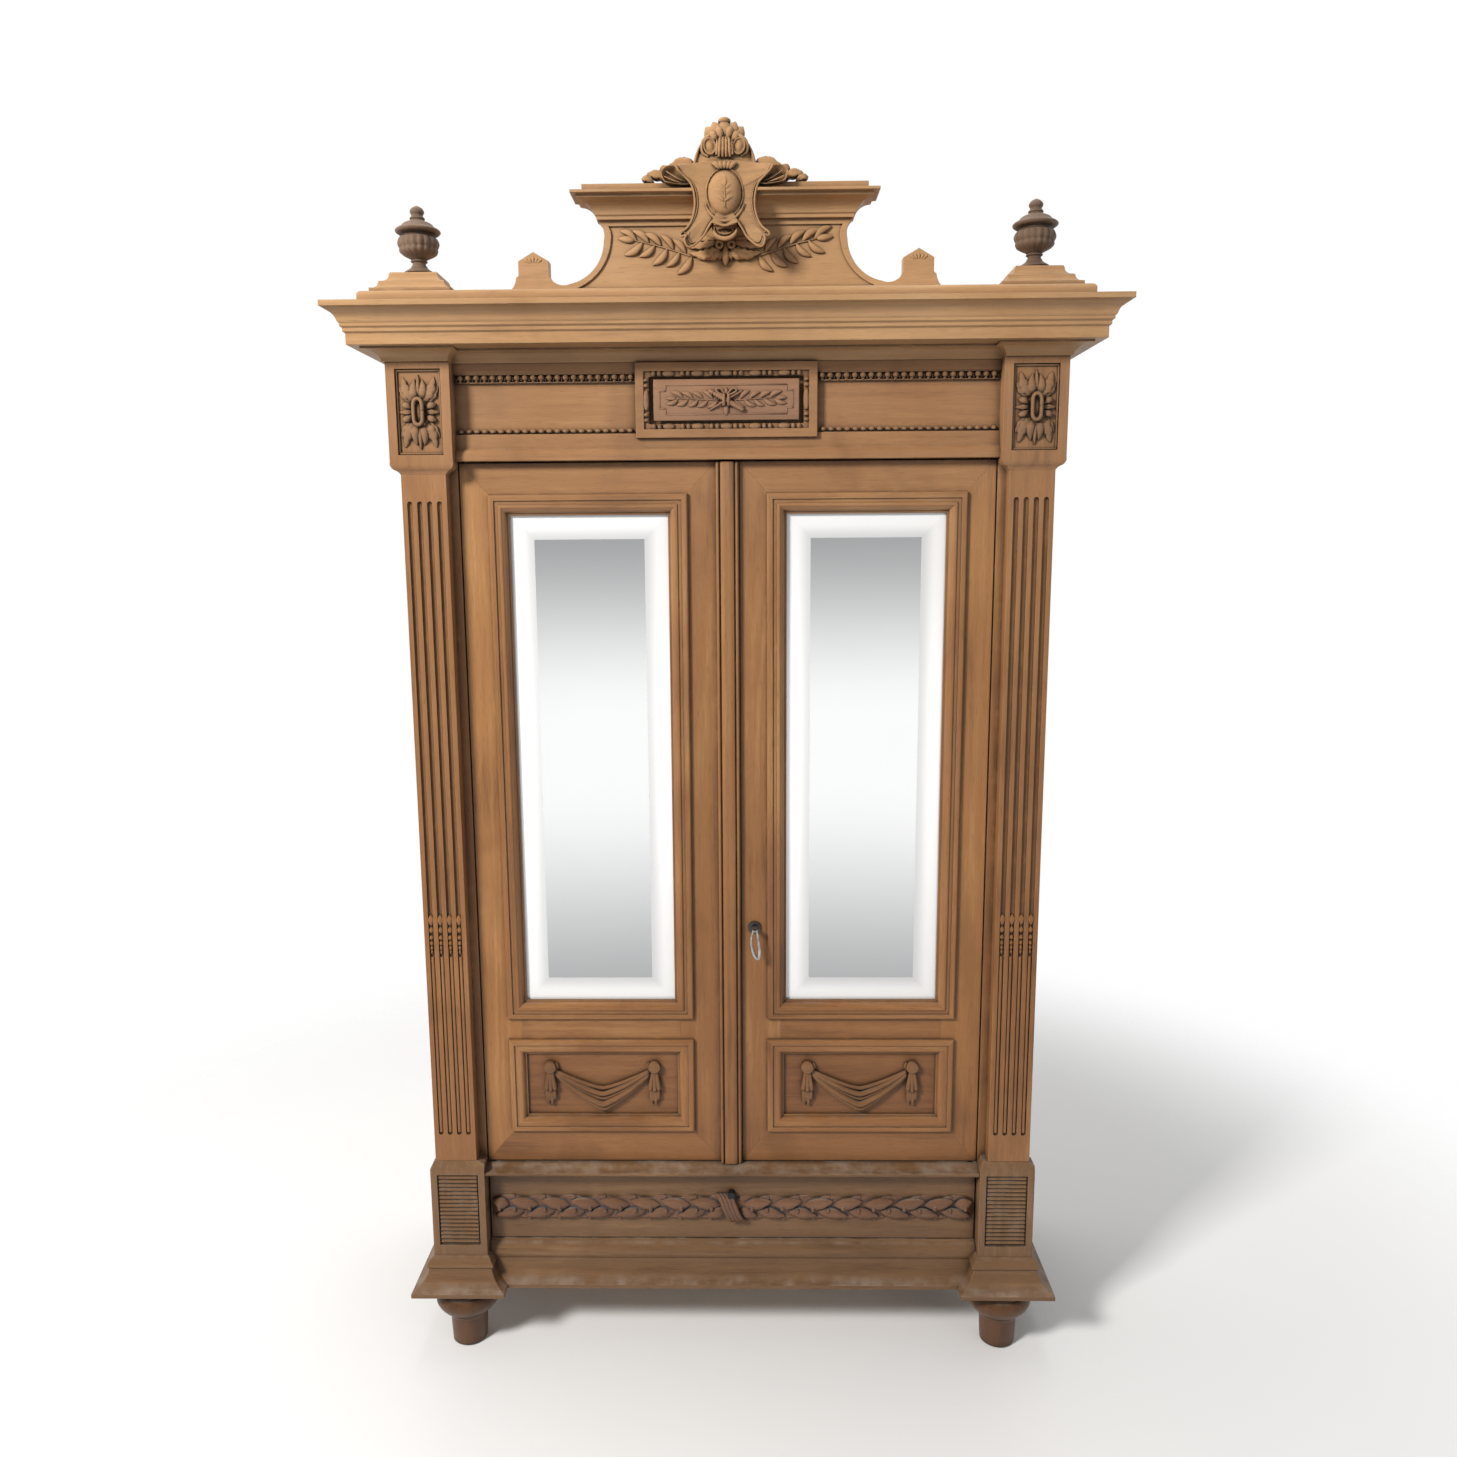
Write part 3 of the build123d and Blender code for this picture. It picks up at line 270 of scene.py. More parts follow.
def metal(name, base, spot, rough, scale, metallic, rust):
    """Metal with slow blotches of tarnish, as strong as rust says, fine scratches, and painted shade with grime
    darkening its corners.
    """
    made, tree, skin = new_material(name)
    around = put(tree, "ShaderNodeGroup", node_tree=SURROUNDINGS)
    around.inputs["Reach"].default_value = 0.01
    place = put(tree, "ShaderNodeTexCoord").outputs["Object"]
    blotch = ramp(tree, noise(tree, place, scale, 4.0, 0.6), 0.38, 0.7)
    scratch = noise(tree, vector_calc(tree, "MULTIPLY", place, (1.0, 1.0, 0.15)), scale * 14.0, 2.0, 0.6)
    # Painted shade and grime: corners found by ambient occlusion darkened towards near-black.
    crevice_shade_and_grime = calc(tree, "MULTIPLY", around.outputs["Crevice"], 0.7)
    colour = blend(tree, calc(tree, "MULTIPLY", blotch, rust), (*base, 1.0), (*spot, 1.0))
    colour = blend(tree, crevice_shade_and_grime, colour, (0.03, 0.025, 0.02, 1.0))
    tree.links.new(colour, skin.inputs["Base Color"])
    value = calc(tree, "MULTIPLY_ADD", blotch, 0.25, calc(tree, "MULTIPLY_ADD", scratch, 0.12, rough - 0.06))
    tree.links.new(value, skin.inputs["Roughness"])
    skin.inputs["Metallic"].default_value = metallic
    bump = put(
        tree, "ShaderNodeBump",
        {"Strength": 0.2, "Distance": 0.0003, "Height": scratch, "Normal": around.outputs["Normal"]},
    )
    tree.links.new(bump.outputs[0], skin.inputs["Normal"])
    return made


def mirror(name):
    """Old silvered plate, a little cloudy and specked, with a softer bevel along its edges: a painted highlight, pale
    and less metallic, greying towards its inner edge as painted shade.
    """
    made, tree, skin = new_material(name)
    place = put(tree, "ShaderNodeTexCoord").outputs["Object"]
    parts = put(tree, "ShaderNodeSeparateXYZ", {0: place}).outputs
    aside = beyond(tree, calc(tree, "ABSOLUTE", parts[0]), DOOR_MIDDLE, OPENING_HALF)
    inset = calc(tree, "MULTIPLY", calc(tree, "MAXIMUM", aside, beyond(tree, parts[2], GLASS_MIDDLE, GLASS_HALF)), -1.0)
    bevel = calc(tree, "LESS_THAN", inset, BEVEL - 0.0002)
    bevel_painted_shade = ramp(tree, inset, BEVEL / 2, BEVEL)
    cloud = noise(tree, place, 5.0, 3.0, 0.55)
    speck = ramp(tree, noise(tree, place, 260.0, 2.0, 0.6), 0.74, 0.8)
    flat = blend(tree, cloud, (0.99, 0.99, 0.995, 1.0), (0.95, 0.955, 0.96, 1.0))
    # Painted highlight on the bevel: white, greying towards its inner edge as painted shade.
    pale = blend(tree, bevel_painted_shade, (1.0, 1.0, 1.0, 1.0), (0.72, 0.73, 0.74, 1.0))
    colour = blend(tree, bevel, flat, pale)
    colour = blend(tree, calc(tree, "MULTIPLY", speck, 0.4), colour, (0.35, 0.33, 0.3, 1.0))
    tree.links.new(colour, skin.inputs["Base Color"])
    tree.links.new(calc(tree, "MULTIPLY_ADD", cloud, 0.03, 0.012), skin.inputs["Roughness"])
    # The bevel is less metallic, so its pale painted colour shows as a highlight.
    tree.links.new(calc(tree, "MULTIPLY_ADD", bevel, -0.7, 1.0), skin.inputs["Metallic"])
    return made


HONEY = ((0.475, 0.275, 0.120), (0.375, 0.200, 0.082), (0.225, 0.112, 0.043))
WALNUT = ((0.385, 0.205, 0.086), (0.275, 0.130, 0.051), (0.150, 0.066, 0.026))
PANELS = ((0.315, 0.162, 0.066), (0.222, 0.101, 0.040), (0.122, 0.052, 0.021))
RUSSET = ((0.335, 0.178, 0.102), (0.240, 0.118, 0.064), (0.135, 0.060, 0.033))
CARVED = ((0.310, 0.172, 0.082), (0.220, 0.112, 0.050), (0.120, 0.057, 0.025))
UMBER = ((0.180, 0.092, 0.046), (0.120, 0.058, 0.028), (0.066, 0.031, 0.016))
SMOKED = ((0.200, 0.132, 0.090), (0.135, 0.086, 0.058), (0.075, 0.047, 0.032))
GREYED = ((0.275, 0.165, 0.088), (0.180, 0.103, 0.053), (0.095, 0.054, 0.028))
LAUREL = ((0.245, 0.135, 0.078), (0.165, 0.086, 0.050), (0.085, 0.043, 0.026))
OAK = ((0.48, 0.35, 0.21), (0.39, 0.27, 0.15), (0.28, 0.185, 0.10))
# Grey crevice colour of the laurel band: dust, and painted shade in its crevices.
DUST_AND_SHADE_GREY = (0.060, 0.060, 0.064)

# Palette, grain, seed and settings of each wood; base, tarnish, roughness, scale, metallic and rust of each metal.
WOODS = {
    "honey_across": (HONEY, 1.0, 7.7, {"shade_and_grime_strength": 0.75}),
    "walnut_up": (WALNUT, 0.0, 11.3, {}),
    "walnut_across": (WALNUT, 1.0, 1.9, {}),
    "panels": (PANELS, 1.0, 1.9, {}),
    "walnut_mitred": (WALNUT, "mitred", 12.3, {"shade_and_grime_strength": 0.95, "wear_and_highlight_strength": 0.65}),
    "walnut_carved": (CARVED, 1.0, 5.3, {"figure": 0.5, "shade_and_grime_strength": 1.1, "wear_and_highlight_strength": 0.75, "reach": 0.012}),
    "honey_carved": (HONEY, 1.0, 9.2, {"figure": 0.5, "shade_and_grime_strength": 1.0, "wear_and_highlight_strength": 0.55, "reach": 0.014}),
    "stiles": (WALNUT, 0.0, 15.1, {"shade": (0, 0.2, 0.3, (1.22, 1.24, 1.18, 1.0))}),
    "russet": (RUSSET, 1.0, 2.7, {"shade_and_grime_strength": 1.0, "wear_and_highlight_strength": 0.5, "reach": 0.01}),
    "umber": (SMOKED, 0.0, 4.4, {"shade_and_grime_strength": 0.8, "wear_and_highlight_strength": 0.6, "top_light_strength": 0.1}),
    "greyed_across": (GREYED, 1.0, 6.6, {"shade_and_grime_strength": 0.85, "wear_and_highlight_strength": 0.7, "dust": 0.35, "gloss": 0.5}),
    "greyed_up": (GREYED, 0.0, 8.8, {"shade_and_grime_strength": 0.85, "wear_and_highlight_strength": 0.8, "dust": 0.35, "gloss": 0.5}),
    "greyed_carved": (LAUREL, 1.0, 13.5, {
        "figure": 0.5, "shade_and_grime_strength": 1.15, "wear_and_highlight_strength": 0.6, "dust": 0.3, "shade_and_grime_colour": DUST_AND_SHADE_GREY, "gloss": 0.45, "reach": 0.012,
    }),
    "greyed_feet": (UMBER, 0.0, 17.2, {"shade_and_grime_strength": 0.8, "wear_and_highlight_strength": 0.7, "dust": 0.4}),
    "oak_up": (OAK, 0.0, 21.0, {"figure": 1.3, "shade_and_grime_strength": 0.6, "wear_and_highlight_strength": 0.2, "gloss": 0.62}),
    "oak_across": (OAK, 1.0, 23.0, {"figure": 1.3, "shade_and_grime_strength": 0.6, "wear_and_highlight_strength": 0.2, "gloss": 0.62}),
}
METALS = {
    "steel": ((0.62, 0.61, 0.59), (0.33, 0.30, 0.27), 0.25, 90.0, 1.0, 0.6),
    "dark_iron": ((0.16, 0.15, 0.145), (0.10, 0.062, 0.04), 0.45, 70.0, 1.0, 0.7),
    "black_iron": ((0.03, 0.03, 0.032), (0.07, 0.05, 0.04), 0.4, 60.0, 0.7, 0.5),
    "brass": ((0.62, 0.44, 0.17), (0.30, 0.19, 0.08), 0.3, 40.0, 1.0, 0.6),
}
LOOKS = {name: wood(name, *palette, across, seed, **more) for name, (palette, across, seed, more) in WOODS.items()}
LOOKS["mirror"] = mirror("mirror")
LOOKS.update({name: metal(name, *values) for name, values in METALS.items()})

NODE_LOOKS = {
    "honey_across": "attic_board bed_moulding cornice pediment_board pediment_cornice finial_plinths",
    "honey_carved": "cartouche crest pediment_relief",
    "walnut_across": "frieze_board frieze_rails frieze_frame left_door_rails right_door_rails side_rails",
    "panels": "left_door_panels right_door_panels",
    "walnut_up": "posts side_panels battement pilasters capitals",
    "walnut_mitred": "left_door_mouldings right_door_mouldings",
    "walnut_carved": "frieze_beads left_door_swag right_door_swag rosettes",
    "stiles": "left_door_stiles right_door_stiles",
    "russet": "frieze_plaque",
    "umber": "finials",
    "greyed_across": "drawer_front plinth_moulding plinth_blocks ledge_moulding",
    "greyed_up": "feet pedestals",
    "greyed_carved": "drawer_laurel",
    "oak_up": "back_frame back_panels",
    "oak_across": "case_boards drawer_runners hat_shelf drawer_box",
    "mirror": "left_door_mirror right_door_mirror",
    "steel": "key key_bow",
    "dark_iron": "right_door_lock right_door_lock_bolt left_door_fittings left_door_top_bolt"
                 " left_door_bottom_bolt case_fittings left_door_pivots right_door_pivots drawer_lock_bolt",
    "black_iron": "drawer_lock",
    "brass": "hanging_rod",
}


# ---------------------------------------------------------------- finish of the CAD nodes
def make_smoothing():
    """Joins the loose triangles and shades them smooth except across edges sharper than 32 degrees."""
    tree = bpy.data.node_groups.new("smooth_by_angle", "GeometryNodeTree")
    tree.interface.new_socket("Geometry", in_out="INPUT", socket_type="NodeSocketGeometry")
    tree.interface.new_socket("Geometry", in_out="OUTPUT", socket_type="NodeSocketGeometry")
    start, end = tree.nodes.new("NodeGroupInput"), tree.nodes.new("NodeGroupOutput")
    merge = put(tree, "GeometryNodeMergeByDistance", {"Geometry": start.outputs[0], "Distance": 0.00002})
    faces = put(tree, "GeometryNodeSetShadeSmooth", {"Geometry": merge.outputs[0], "Shade Smooth": True})
    angle = put(tree, "GeometryNodeInputMeshEdgeAngle").outputs["Unsigned Angle"]
    sharp = put(tree, "FunctionNodeCompare", {"A": angle, "B": math.radians(32)}, operation="GREATER_THAN")
    edges = put(
        tree, "GeometryNodeSetShadeSmooth",
        {"Geometry": faces.outputs[0], "Selection": sharp.outputs[0], "Shade Smooth": False}, domain="EDGE",
    )
    tree.links.new(edges.outputs[0], end.inputs[0])
    return tree


SMOOTHING = make_smoothing()
for look, names in NODE_LOOKS.items():
    for name in names.split():
        node = NODES[name]
        node.data.materials.clear()
        node.data.materials.append(LOOKS[look])
        if look != "mirror":
            node.modifiers.new("smooth_by_angle", "NODES").node_group = SMOOTHING


# ---------------------------------------------------------------- carving tools
# A part is (points, faces): points (n, 3) are in millimetres as u, v, w; faces (k, 4), a triangle repeats a corner.
def loft(rings):
    """Closed skin over rings (n, m, 3): quads between ring i and ring i + 1, and a fan to the centre of each end."""
    rings = np.asarray(rings, float)
    n, m, _ = rings.shape
    i = np.arange(n - 1)[:, None] * m
    j = np.arange(m)[None, :]
    k = (j + 1) % m
    quads = np.stack([i + j, i + k, i + m + k, i + m + j], -1).reshape(-1, 4)
    first, last = n * m, n * m + 1
    j, k = j[0], k[0]
    start = np.stack([k, j, np.full(m, first), np.full(m, first)], -1)
    end = np.stack([j + (n - 1) * m, k + (n - 1) * m, np.full(m, last), np.full(m, last)], -1)
    points = np.concatenate([rings.reshape(-1, 3), [rings[0].mean(0)], [rings[-1].mean(0)]])
    return outward(points, np.concatenate([quads, start, end]))


def outward(points, faces):
    """Turns the faces over if the volume they close, the sum of a . (b x c) / 6, is negative."""
    a, b, c, d = (points[faces[:, i]] for i in range(4))
    volume = (a * np.cross(b, c)).sum() + (a * np.cross(c, d)).sum()
    return points, faces if volume > 0 else faces[:, ::-1]


def join(parts):
    """Several parts as one."""
    points, faces, start = [], [], 0
    for p, f in parts:
        points.append(p)
        faces.append(f + start)
        start += len(p)
    return np.concatenate(points), np.concatenate(faces)


def moved(part, u=0.0, v=0.0, w=0.0, turn=0.0):
    """A part turned by turn degrees in the u, v plane, then shifted."""
    c, s = math.cos(math.radians(turn)), math.sin(math.radians(turn))
    points = part[0]
    spun = np.stack([points[:, 0] * c - points[:, 1] * s, points[:, 0] * s + points[:, 1] * c, points[:, 2]], -1)
    return spun + (u, v, w), part[1]


def mirrored(part):
    """The same part with u turned over."""
    return part[0] * (-1.0, 1.0, 1.0), part[1][:, ::-1]


def both(part):
    """A part and its mirror image."""
    return join([part, mirrored(part)])


def flipped(knots, side):
    """Flat knots, with u turned over where side is -1."""
    return [(side * u, v) for u, v in knots]


def curve(knots, n):
    """n points along a Catmull-Rom curve through the knots, evenly spaced in its parameter."""
    knots = np.asarray(knots, float)
    ends = np.concatenate([[2 * knots[0] - knots[1]], knots, [2 * knots[-1] - knots[-2]]])
    t = np.linspace(0, len(knots) - 1, n)
    i = np.minimum(t.astype(int), len(knots) - 2)
    f = (t - i)[:, None]
    a, b, c, d = (ends[i + o] for o in range(4))
    return 0.5 * (2 * b + (c - a) * f + (2 * a - 5 * b + 4 * c - d) * f**2 + (3 * b - a - 3 * c + d) * f**3)


def sides(line):
    """Unit tangent and left-hand normal of a flat line (n, 2)."""
    along = np.gradient(line, axis=0)
    along /= np.linalg.norm(along, axis=1)[:, None] + 1e-9
    return along, np.stack([-along[:, 1], along[:, 0]], -1)


def blade(knots, half, height, base=0.0, lift=0.0, vein=0.35, lobes=0, depth=0.3, sink=3.0, n=18, m=14,
          broad=0.42, ribs=0.0):
    """A carved leaf along a flat curve.

    At t along it, half width = half * shape(t), shape = sin(pi t ** k) ** 0.8 with its widest point at
    `broad`, notched by lobes. Across it, with s from -1 to 1, w = base + lift t + height shape sqrt(1 - s ** 2)
    less a vein groove at s = 0; the underside lies `sink` below.
    """
    line = curve(knots, n)
    t = np.linspace(0.0, 1.0, n)
    _, left = sides(line)
    power = math.log(0.5) / math.log(broad)
    shape = np.sin(np.pi * np.clip(t**power, 0.004, 0.996)) ** 0.8
    wide = shape.copy()
    if lobes:
        wide *= 1.0 - depth * (0.5 + 0.5 * np.cos(2 * np.pi * lobes * t)) ** 2 * (t < 0.93)
    a = np.linspace(0, 2 * np.pi, m, endpoint=False)
    s = np.cos(a)
    top = np.sin(a) >= -1e-9
    rise = np.sqrt(np.clip(1 - s**2, 0, 1)) - vein * np.exp(-((s / 0.16) ** 2))
    if ribs:
        rise = rise + ribs * np.cos(3 * np.pi * s) * (1 - s**2)
    w = np.where(top, 0.0, -sink * np.abs(np.sin(a)) ** 0.5)[None, :] + np.where(top, rise, 0.0)[None, :] * (
        height * np.clip(shape, 0.12, 1)[:, None]
    )
    across = line[:, None, :] + left[:, None, :] * (s[None, :] * half * wide[:, None])[..., None]
    w = w + (base + lift * t)[:, None]
    return loft(np.concatenate([across, w[..., None]], -1))


def rope(knots, radius, n=24, m=10, flat=1.0):
    """A tube along a curve of (u, v, w) knots; radius is one number or knots of it; flat squeezes it along w."""
    line = curve(knots, n)
    radius = np.interp(np.linspace(0, 1, n), np.linspace(0, 1, np.size(radius)), np.atleast_1d(radius))
    _, left = sides(line[:, :2])
    a = np.linspace(0, 2 * np.pi, m, endpoint=False)
    flatways = left[:, None, :] * (np.cos(a)[None, :] * radius[:, None])[..., None]
    w = np.sin(a)[None, :] * radius[:, None] * flat
    ring = np.concatenate([line[:, None, :2] + flatways, (line[:, None, 2] + w)[..., None]], -1)
    return loft(ring)


def ball(u, v, w, ru, rv, rw, n=7, m=10):
    """An ellipsoid: rings of latitude between two poles along w."""
    lat = np.linspace(0.06, np.pi - 0.06, n)
    lon = np.linspace(0, 2 * np.pi, m, endpoint=False)
    p = np.stack([
        np.sin(lat)[:, None] * np.cos(lon), np.sin(lat)[:, None] * np.sin(lon), np.repeat(np.cos(lat)[:, None], m, 1)
    ], -1)
    return loft(p * (ru, rv, rw) + (u, v, w))


def strip(low_u, low_v, high_u, high_v, low_w, high_w, edge, n=3):
    """A flat rectangle between two corners, from low_w to high_w, its front edge rounded by `edge`."""
    outline = np.array([(low_u, low_v), (high_u, low_v), (high_u, high_v), (low_u, high_v)], float)
    centre = outline.mean(0)
    reach = np.linalg.norm(outline - centre, axis=1).mean()
    steps = [(1.0, low_w), (1.0, high_w - edge)]
    steps += [(1.0 - edge / reach * (1 - math.cos(a)), high_w - edge + edge * math.sin(a))
              for a in np.linspace(0.3, math.pi / 2, n)]
    return loft([np.column_stack([centre + (outline - centre) * k, np.full(len(outline), w)]) for k, w in steps])


def piece(name, parts, body, look, y0=FACE, stands_for=()):
    """Makes one object from parts: x = u, y = y0 - w, z = v, all in millimetres, with smooth shading."""
    points, faces = join(parts)
    place = np.stack([points[:, 0], y0 - points[:, 2], points[:, 1]], -1) / 1000.0
    add_mesh(name, place, faces, body, look, stands_for)


def add_mesh(name, place, faces, body, look, stands_for=()):
    """One object from points in metres and faces whose fourth corner may repeat the third."""
    mesh = bpy.data.meshes.new(name)
    corners = [f[:3] if f[2] == f[3] else (f[1:] if f[0] == f[1] else f) for f in faces.tolist()]
    mesh.from_pydata(place.tolist(), [], corners)
    mesh.validate()
    mesh.polygons.foreach_set("use_smooth", np.ones(len(mesh.polygons), bool))
    mesh.materials.append(LOOKS[look])
    made = bpy.data.objects.new(name, mesh)
    bpy.context.scene.collection.objects.link(made)
    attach(made, body)
    if stands_for:
        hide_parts(*stands_for)


# ---------------------------------------------------------------- laurel band of the drawer
ROD_Z, ROD_Y = 311.0, FACE + 27.0  # middle of the rod that the band is laid on
BAND_REACH, LEAF_PITCH, FIRST_LEAF = 521.0, 66.0, 22.0


def wrapped(part, radius_y, radius_z):
    """Lays a flat part on the rod: turn = v / radius_z, then z and y from (radius + w) times its sine and cosine."""
    u, v, w = part[0].T
    turn = v / radius_z
    z = ROD_Z + (radius_z + w) * np.sin(turn)
    y = ROD_Y - (radius_y + w) * np.cos(turn)
    return np.stack([u, y, z], -1) / 1000.0, part[1]


def make_laurel():
    """Rows of overlapping leaves pointing away from a crossed ribbon, with berries between them."""
    rng = np.random.default_rng(7)
    leaves = []
    for side in (1, -1):
        for v, offset in ((13.0, 0.0), (-13.5, 0.5), (39.0, 0.45), (-39.0, 0.0)):
            for k in range(-1, 9):
                start = FIRST_LEAF + (k + offset) * LEAF_PITCH + rng.uniform(-2, 2)
                end = start + rng.uniform(63, 68)
                if start > BAND_REACH - 26 or end < 24:
                    continue
                start, end = max(start, 10.0), min(end, BAND_REACH)
                lean = (3.5 if v > 0 else -3.5) + rng.uniform(-1.2, 1.2)
                knots = [(start, v * 0.55), ((start + end) / 2, v * 0.95), (end, v + lean)]
                leaf = blade(knots, 15.0, 9.0, base=-4.0, lift=7.5, vein=0.3, sink=4.0, n=15, m=14, broad=0.46)
                leaves.append(leaf if side > 0 else mirrored(leaf))
        for k in range(8):
            for v, offset in ((1.5, 0.33), (-2.0, 0.83), (27.0, 0.86), (-27.0, 0.36)):
                u = FIRST_LEAF + (k + offset) * LEAF_PITCH
                if 30 < u < BAND_REACH - 8:
                    leaves.append(ball(side * u, v + rng.uniform(-1, 1), 4.5, 4.8, 4.8, 4.6))
    for k in range(4):
        across = (k - 1.5) * 8.2
        knots = [(-27 + across, 40, 5), (-9 + across, 14, 12), (9 + across, -14, 12), (27 + across, -40, 5)]
        leaves.append(rope(knots, 4.3, n=16, m=10))
    rod_turn = np.linspace(0, 2 * np.pi, 24, endpoint=False)
    core, core_faces = loft([
        np.stack([np.full(24, u), 22.0 * np.sin(rod_turn), 4.0 * np.cos(rod_turn)], -1)
        for u in (-BAND_REACH, 0, BAND_REACH)
    ])
    core = np.stack([core[:, 0], ROD_Y - core[:, 2], ROD_Z + core[:, 1]], -1) / 1000.0
    place, faces = wrapped(join(leaves), 7.0, 20.0)
    place[:, 1] = np.minimum(place[:, 1], (ROD_Y + 6.0) / 1000.0)
    place, faces = join([(place, faces), (core, core_faces)])
    add_mesh("laurel_band", place, faces, "drawer", "greyed_carved", ["drawer_laurel"])


make_laurel()


# ---------------------------------------------------------------- beads of the frieze
FIRST_BEAD, BEAD_PITCH = 185.0, 15.8
FRAME_ROWS, REEL_PITCH, CHANNEL_HALF = (2062.0, 1963.0), 56.0, 158.0
REEL = [4.0, 5.9, 6.3, 5.9, 4.0]


def make_frieze_beads():
    """Egg beads under the upper rail and olive beads over the lower one, at one pitch, each on a thin fillet."""
    parts = []
    for side in (1, -1):
        for k in range(22):
            u = side * (FIRST_BEAD + k * BEAD_PITCH)
            parts.append(ball(u, 2057.8, 6.0, 6.3, 5.6, 8.2, n=7, m=12))
            parts.append(ball(u, 2051.4, 4.5, 3.4, 3.4, 4.6, n=5, m=9))
            parts.append(ball(u + side * 7.8, 2055.5, 4.0, 1.5, 5.6, 4.6, n=5, m=8))
            parts.append(ball(u + side * 3.0, 1957.0, 3.0, 6.6, 4.6, 6.0, n=7, m=11))
        for low_v, high_v, rise in ((2063.0, 2065.5, 9.0), (2048.0, 2050.0, 6.5), (1950.5, 1952.0, 5.5)):
            a, b = sorted((side * 176.0, side * 530.0))
            parts.append(strip(a, low_v, b, high_v, -2, rise, 0.6))
    piece("frieze_bead_rows", parts, "case", "walnut_carved", FACE + 30, ["frieze_beads"])


make_frieze_beads()


def make_plaque_beads():
    """Bead and reel in the channel of the frieze frame: above and below, two beads between one reel and the next."""
    parts = []
    spots = [(0.0, True)]
    for k in range(3):
        for offset, long in ((17.5, False), (28.5, False), (REEL_PITCH, True)):
            spots += [(side * (k * REEL_PITCH + offset), long) for side in (1, -1)]
    for v in FRAME_ROWS:
        for u, long in spots:
            if abs(u) < CHANNEL_HALF and long:
                parts.append(rope([(u - 11.0, v, 0.0), (u, v, 0.0), (u + 11.0, v, 0.0)], REEL, n=12, m=10, flat=1.1))
            elif abs(u) < CHANNEL_HALF:
                parts.append(ball(u, v, 0.0, 5.25, 6.0, 7.6, n=7, m=12))
    for side in (1, -1):
        u = side * 155.0
        parts.append(rope([(u, 1993.5, 0), (u, 2012.5, 0), (u, 2031.5, 0)], REEL, n=12, m=10, flat=1.1))
        for v, half in ((2040.0, 4.5), (1985.0, 4.5), (2050.0, 4.0), (1975.0, 4.0)):
            parts.append(ball(u, v, 0.0, 5.9, half, 7.6, n=7, m=12))
    piece("plaque_beads", parts, "case", "walnut_carved", FACE + 18)


make_plaque_beads()


def sprig(length, count, size, seed, rise, height, spread):
    """A laurel branch along +u from 0: a thin stem, with slender leaves on alternate sides and one at its tip."""
    rng = np.random.default_rng(seed)
    stem = [(0, 0, 0), (length * 0.5, rise * 0.6, 1), (length * 0.93, rise, 0.5)]
    parts = [rope(stem, [1.5, 1.1, 0.8], n=12, m=8)]
    for k in range(count):
        t = (k + 0.35) / count
        u, v = length * 0.93 * t, rise * (1.4 * t - 0.4 * t * t)
        side = 1 if k % 2 else -1
        angle = math.radians(side * (spread + rng.uniform(-6, 6)) * (1.05 - 0.45 * t))
        far = size * rng.uniform(0.9, 1.1)
        c, s = math.cos(angle), math.sin(angle)
        bend = side * far * 0.12
        knots = [(u, v), (u + c * far * 0.5 - s * bend, v + s * far * 0.5 + c * bend), (u + c * far, v + s * far)]
        parts.append(blade(knots, far * 0.17, height, lift=1.2, vein=0.4, sink=2.0, n=11, m=10, broad=0.5))
    tip = [(length * 0.9, rise * 0.98), (length + size * 0.5, rise * 1.1)]
    parts.append(blade(tip, size * 0.17, height, lift=1.2, vein=0.4, sink=2.0, n=11, m=10))
    return join(parts)


def make_plaque():
    """The frieze plaque: a sunk border line, two laurel branches, a crossed quiver and rod, a binding and ribbon."""
    parts = [strip(-141, 1974, 141, 2051, -6, 0, 2.0, 4)]
    corners = [(129, 1996), (117, 1996), (117, 1985), (-117, 1985), (-117, 1996), (-129, 1996),
               (-129, 2029), (-117, 2029), (-117, 2040), (117, 2040), (117, 2029), (129, 2029)]
    for a, b in zip(corners, corners[1:] + corners[:1]):
        middle = ((a[0] + b[0]) / 2, (a[1] + b[1]) / 2, 0.2)
        parts.append(rope([(*a, 0.2), middle, (*b, 0.2)], 1.1, n=4, m=6))
    branch = moved(sprig(92.0, 9, 27.0, 3, rise=4.0, height=4.0, spread=36.0), 12, 2011, 0)
    parts.append(branch)
    parts.append(mirrored(branch))
    parts.append(rope([(-34, 2030, 2.5), (0, 2011, 4.5), (34, 1992, 2.5)], [3.0, 4.6, 5.2, 4.4], n=16, m=10))
    parts.append(rope([(-32, 1993, 2.0), (0, 2011, 6.5), (32, 2029, 2.0)], 1.8, n=12, m=8))
    for k in range(4):
        u = -27 + k * 5.0
        parts.append(rope([(u - 2, 2021 - k * 2.9, 5.5), (u + 1, 2026 - k * 2.9, 6.6), (u + 4, 2031 - k * 2.9, 4.5)],
                          0.9, n=5, m=6))
    for u in (-4.5, 4.5):
        parts.append(rope([(u, 2000, 4), (u, 2011, 9.5), (u, 2022, 4)], 3.2, n=10, m=8))
    for side in (1, -1):
        loop = [(2, 2021, 4), (12, 2033, 5), (20, 2029, 5), (12, 2023, 5), (3, 2020, 5)]
        parts.append(rope([(side * u, v, w) for u, v, w in loop], 1.9, n=18, m=8))
    parts.append(blade([(0, 2004), (0, 1993), (0, 1982)], 5.5, 4.0, base=1.0, n=12, m=10))
    parts.append(blade([(0, 2019), (0, 2028), (0, 2036)], 4.5, 4.0, base=1.0, n=12, m=10))
    piece("plaque_relief", parts, "case", "russet", FACE + 12, ["frieze_plaque"])


make_plaque()


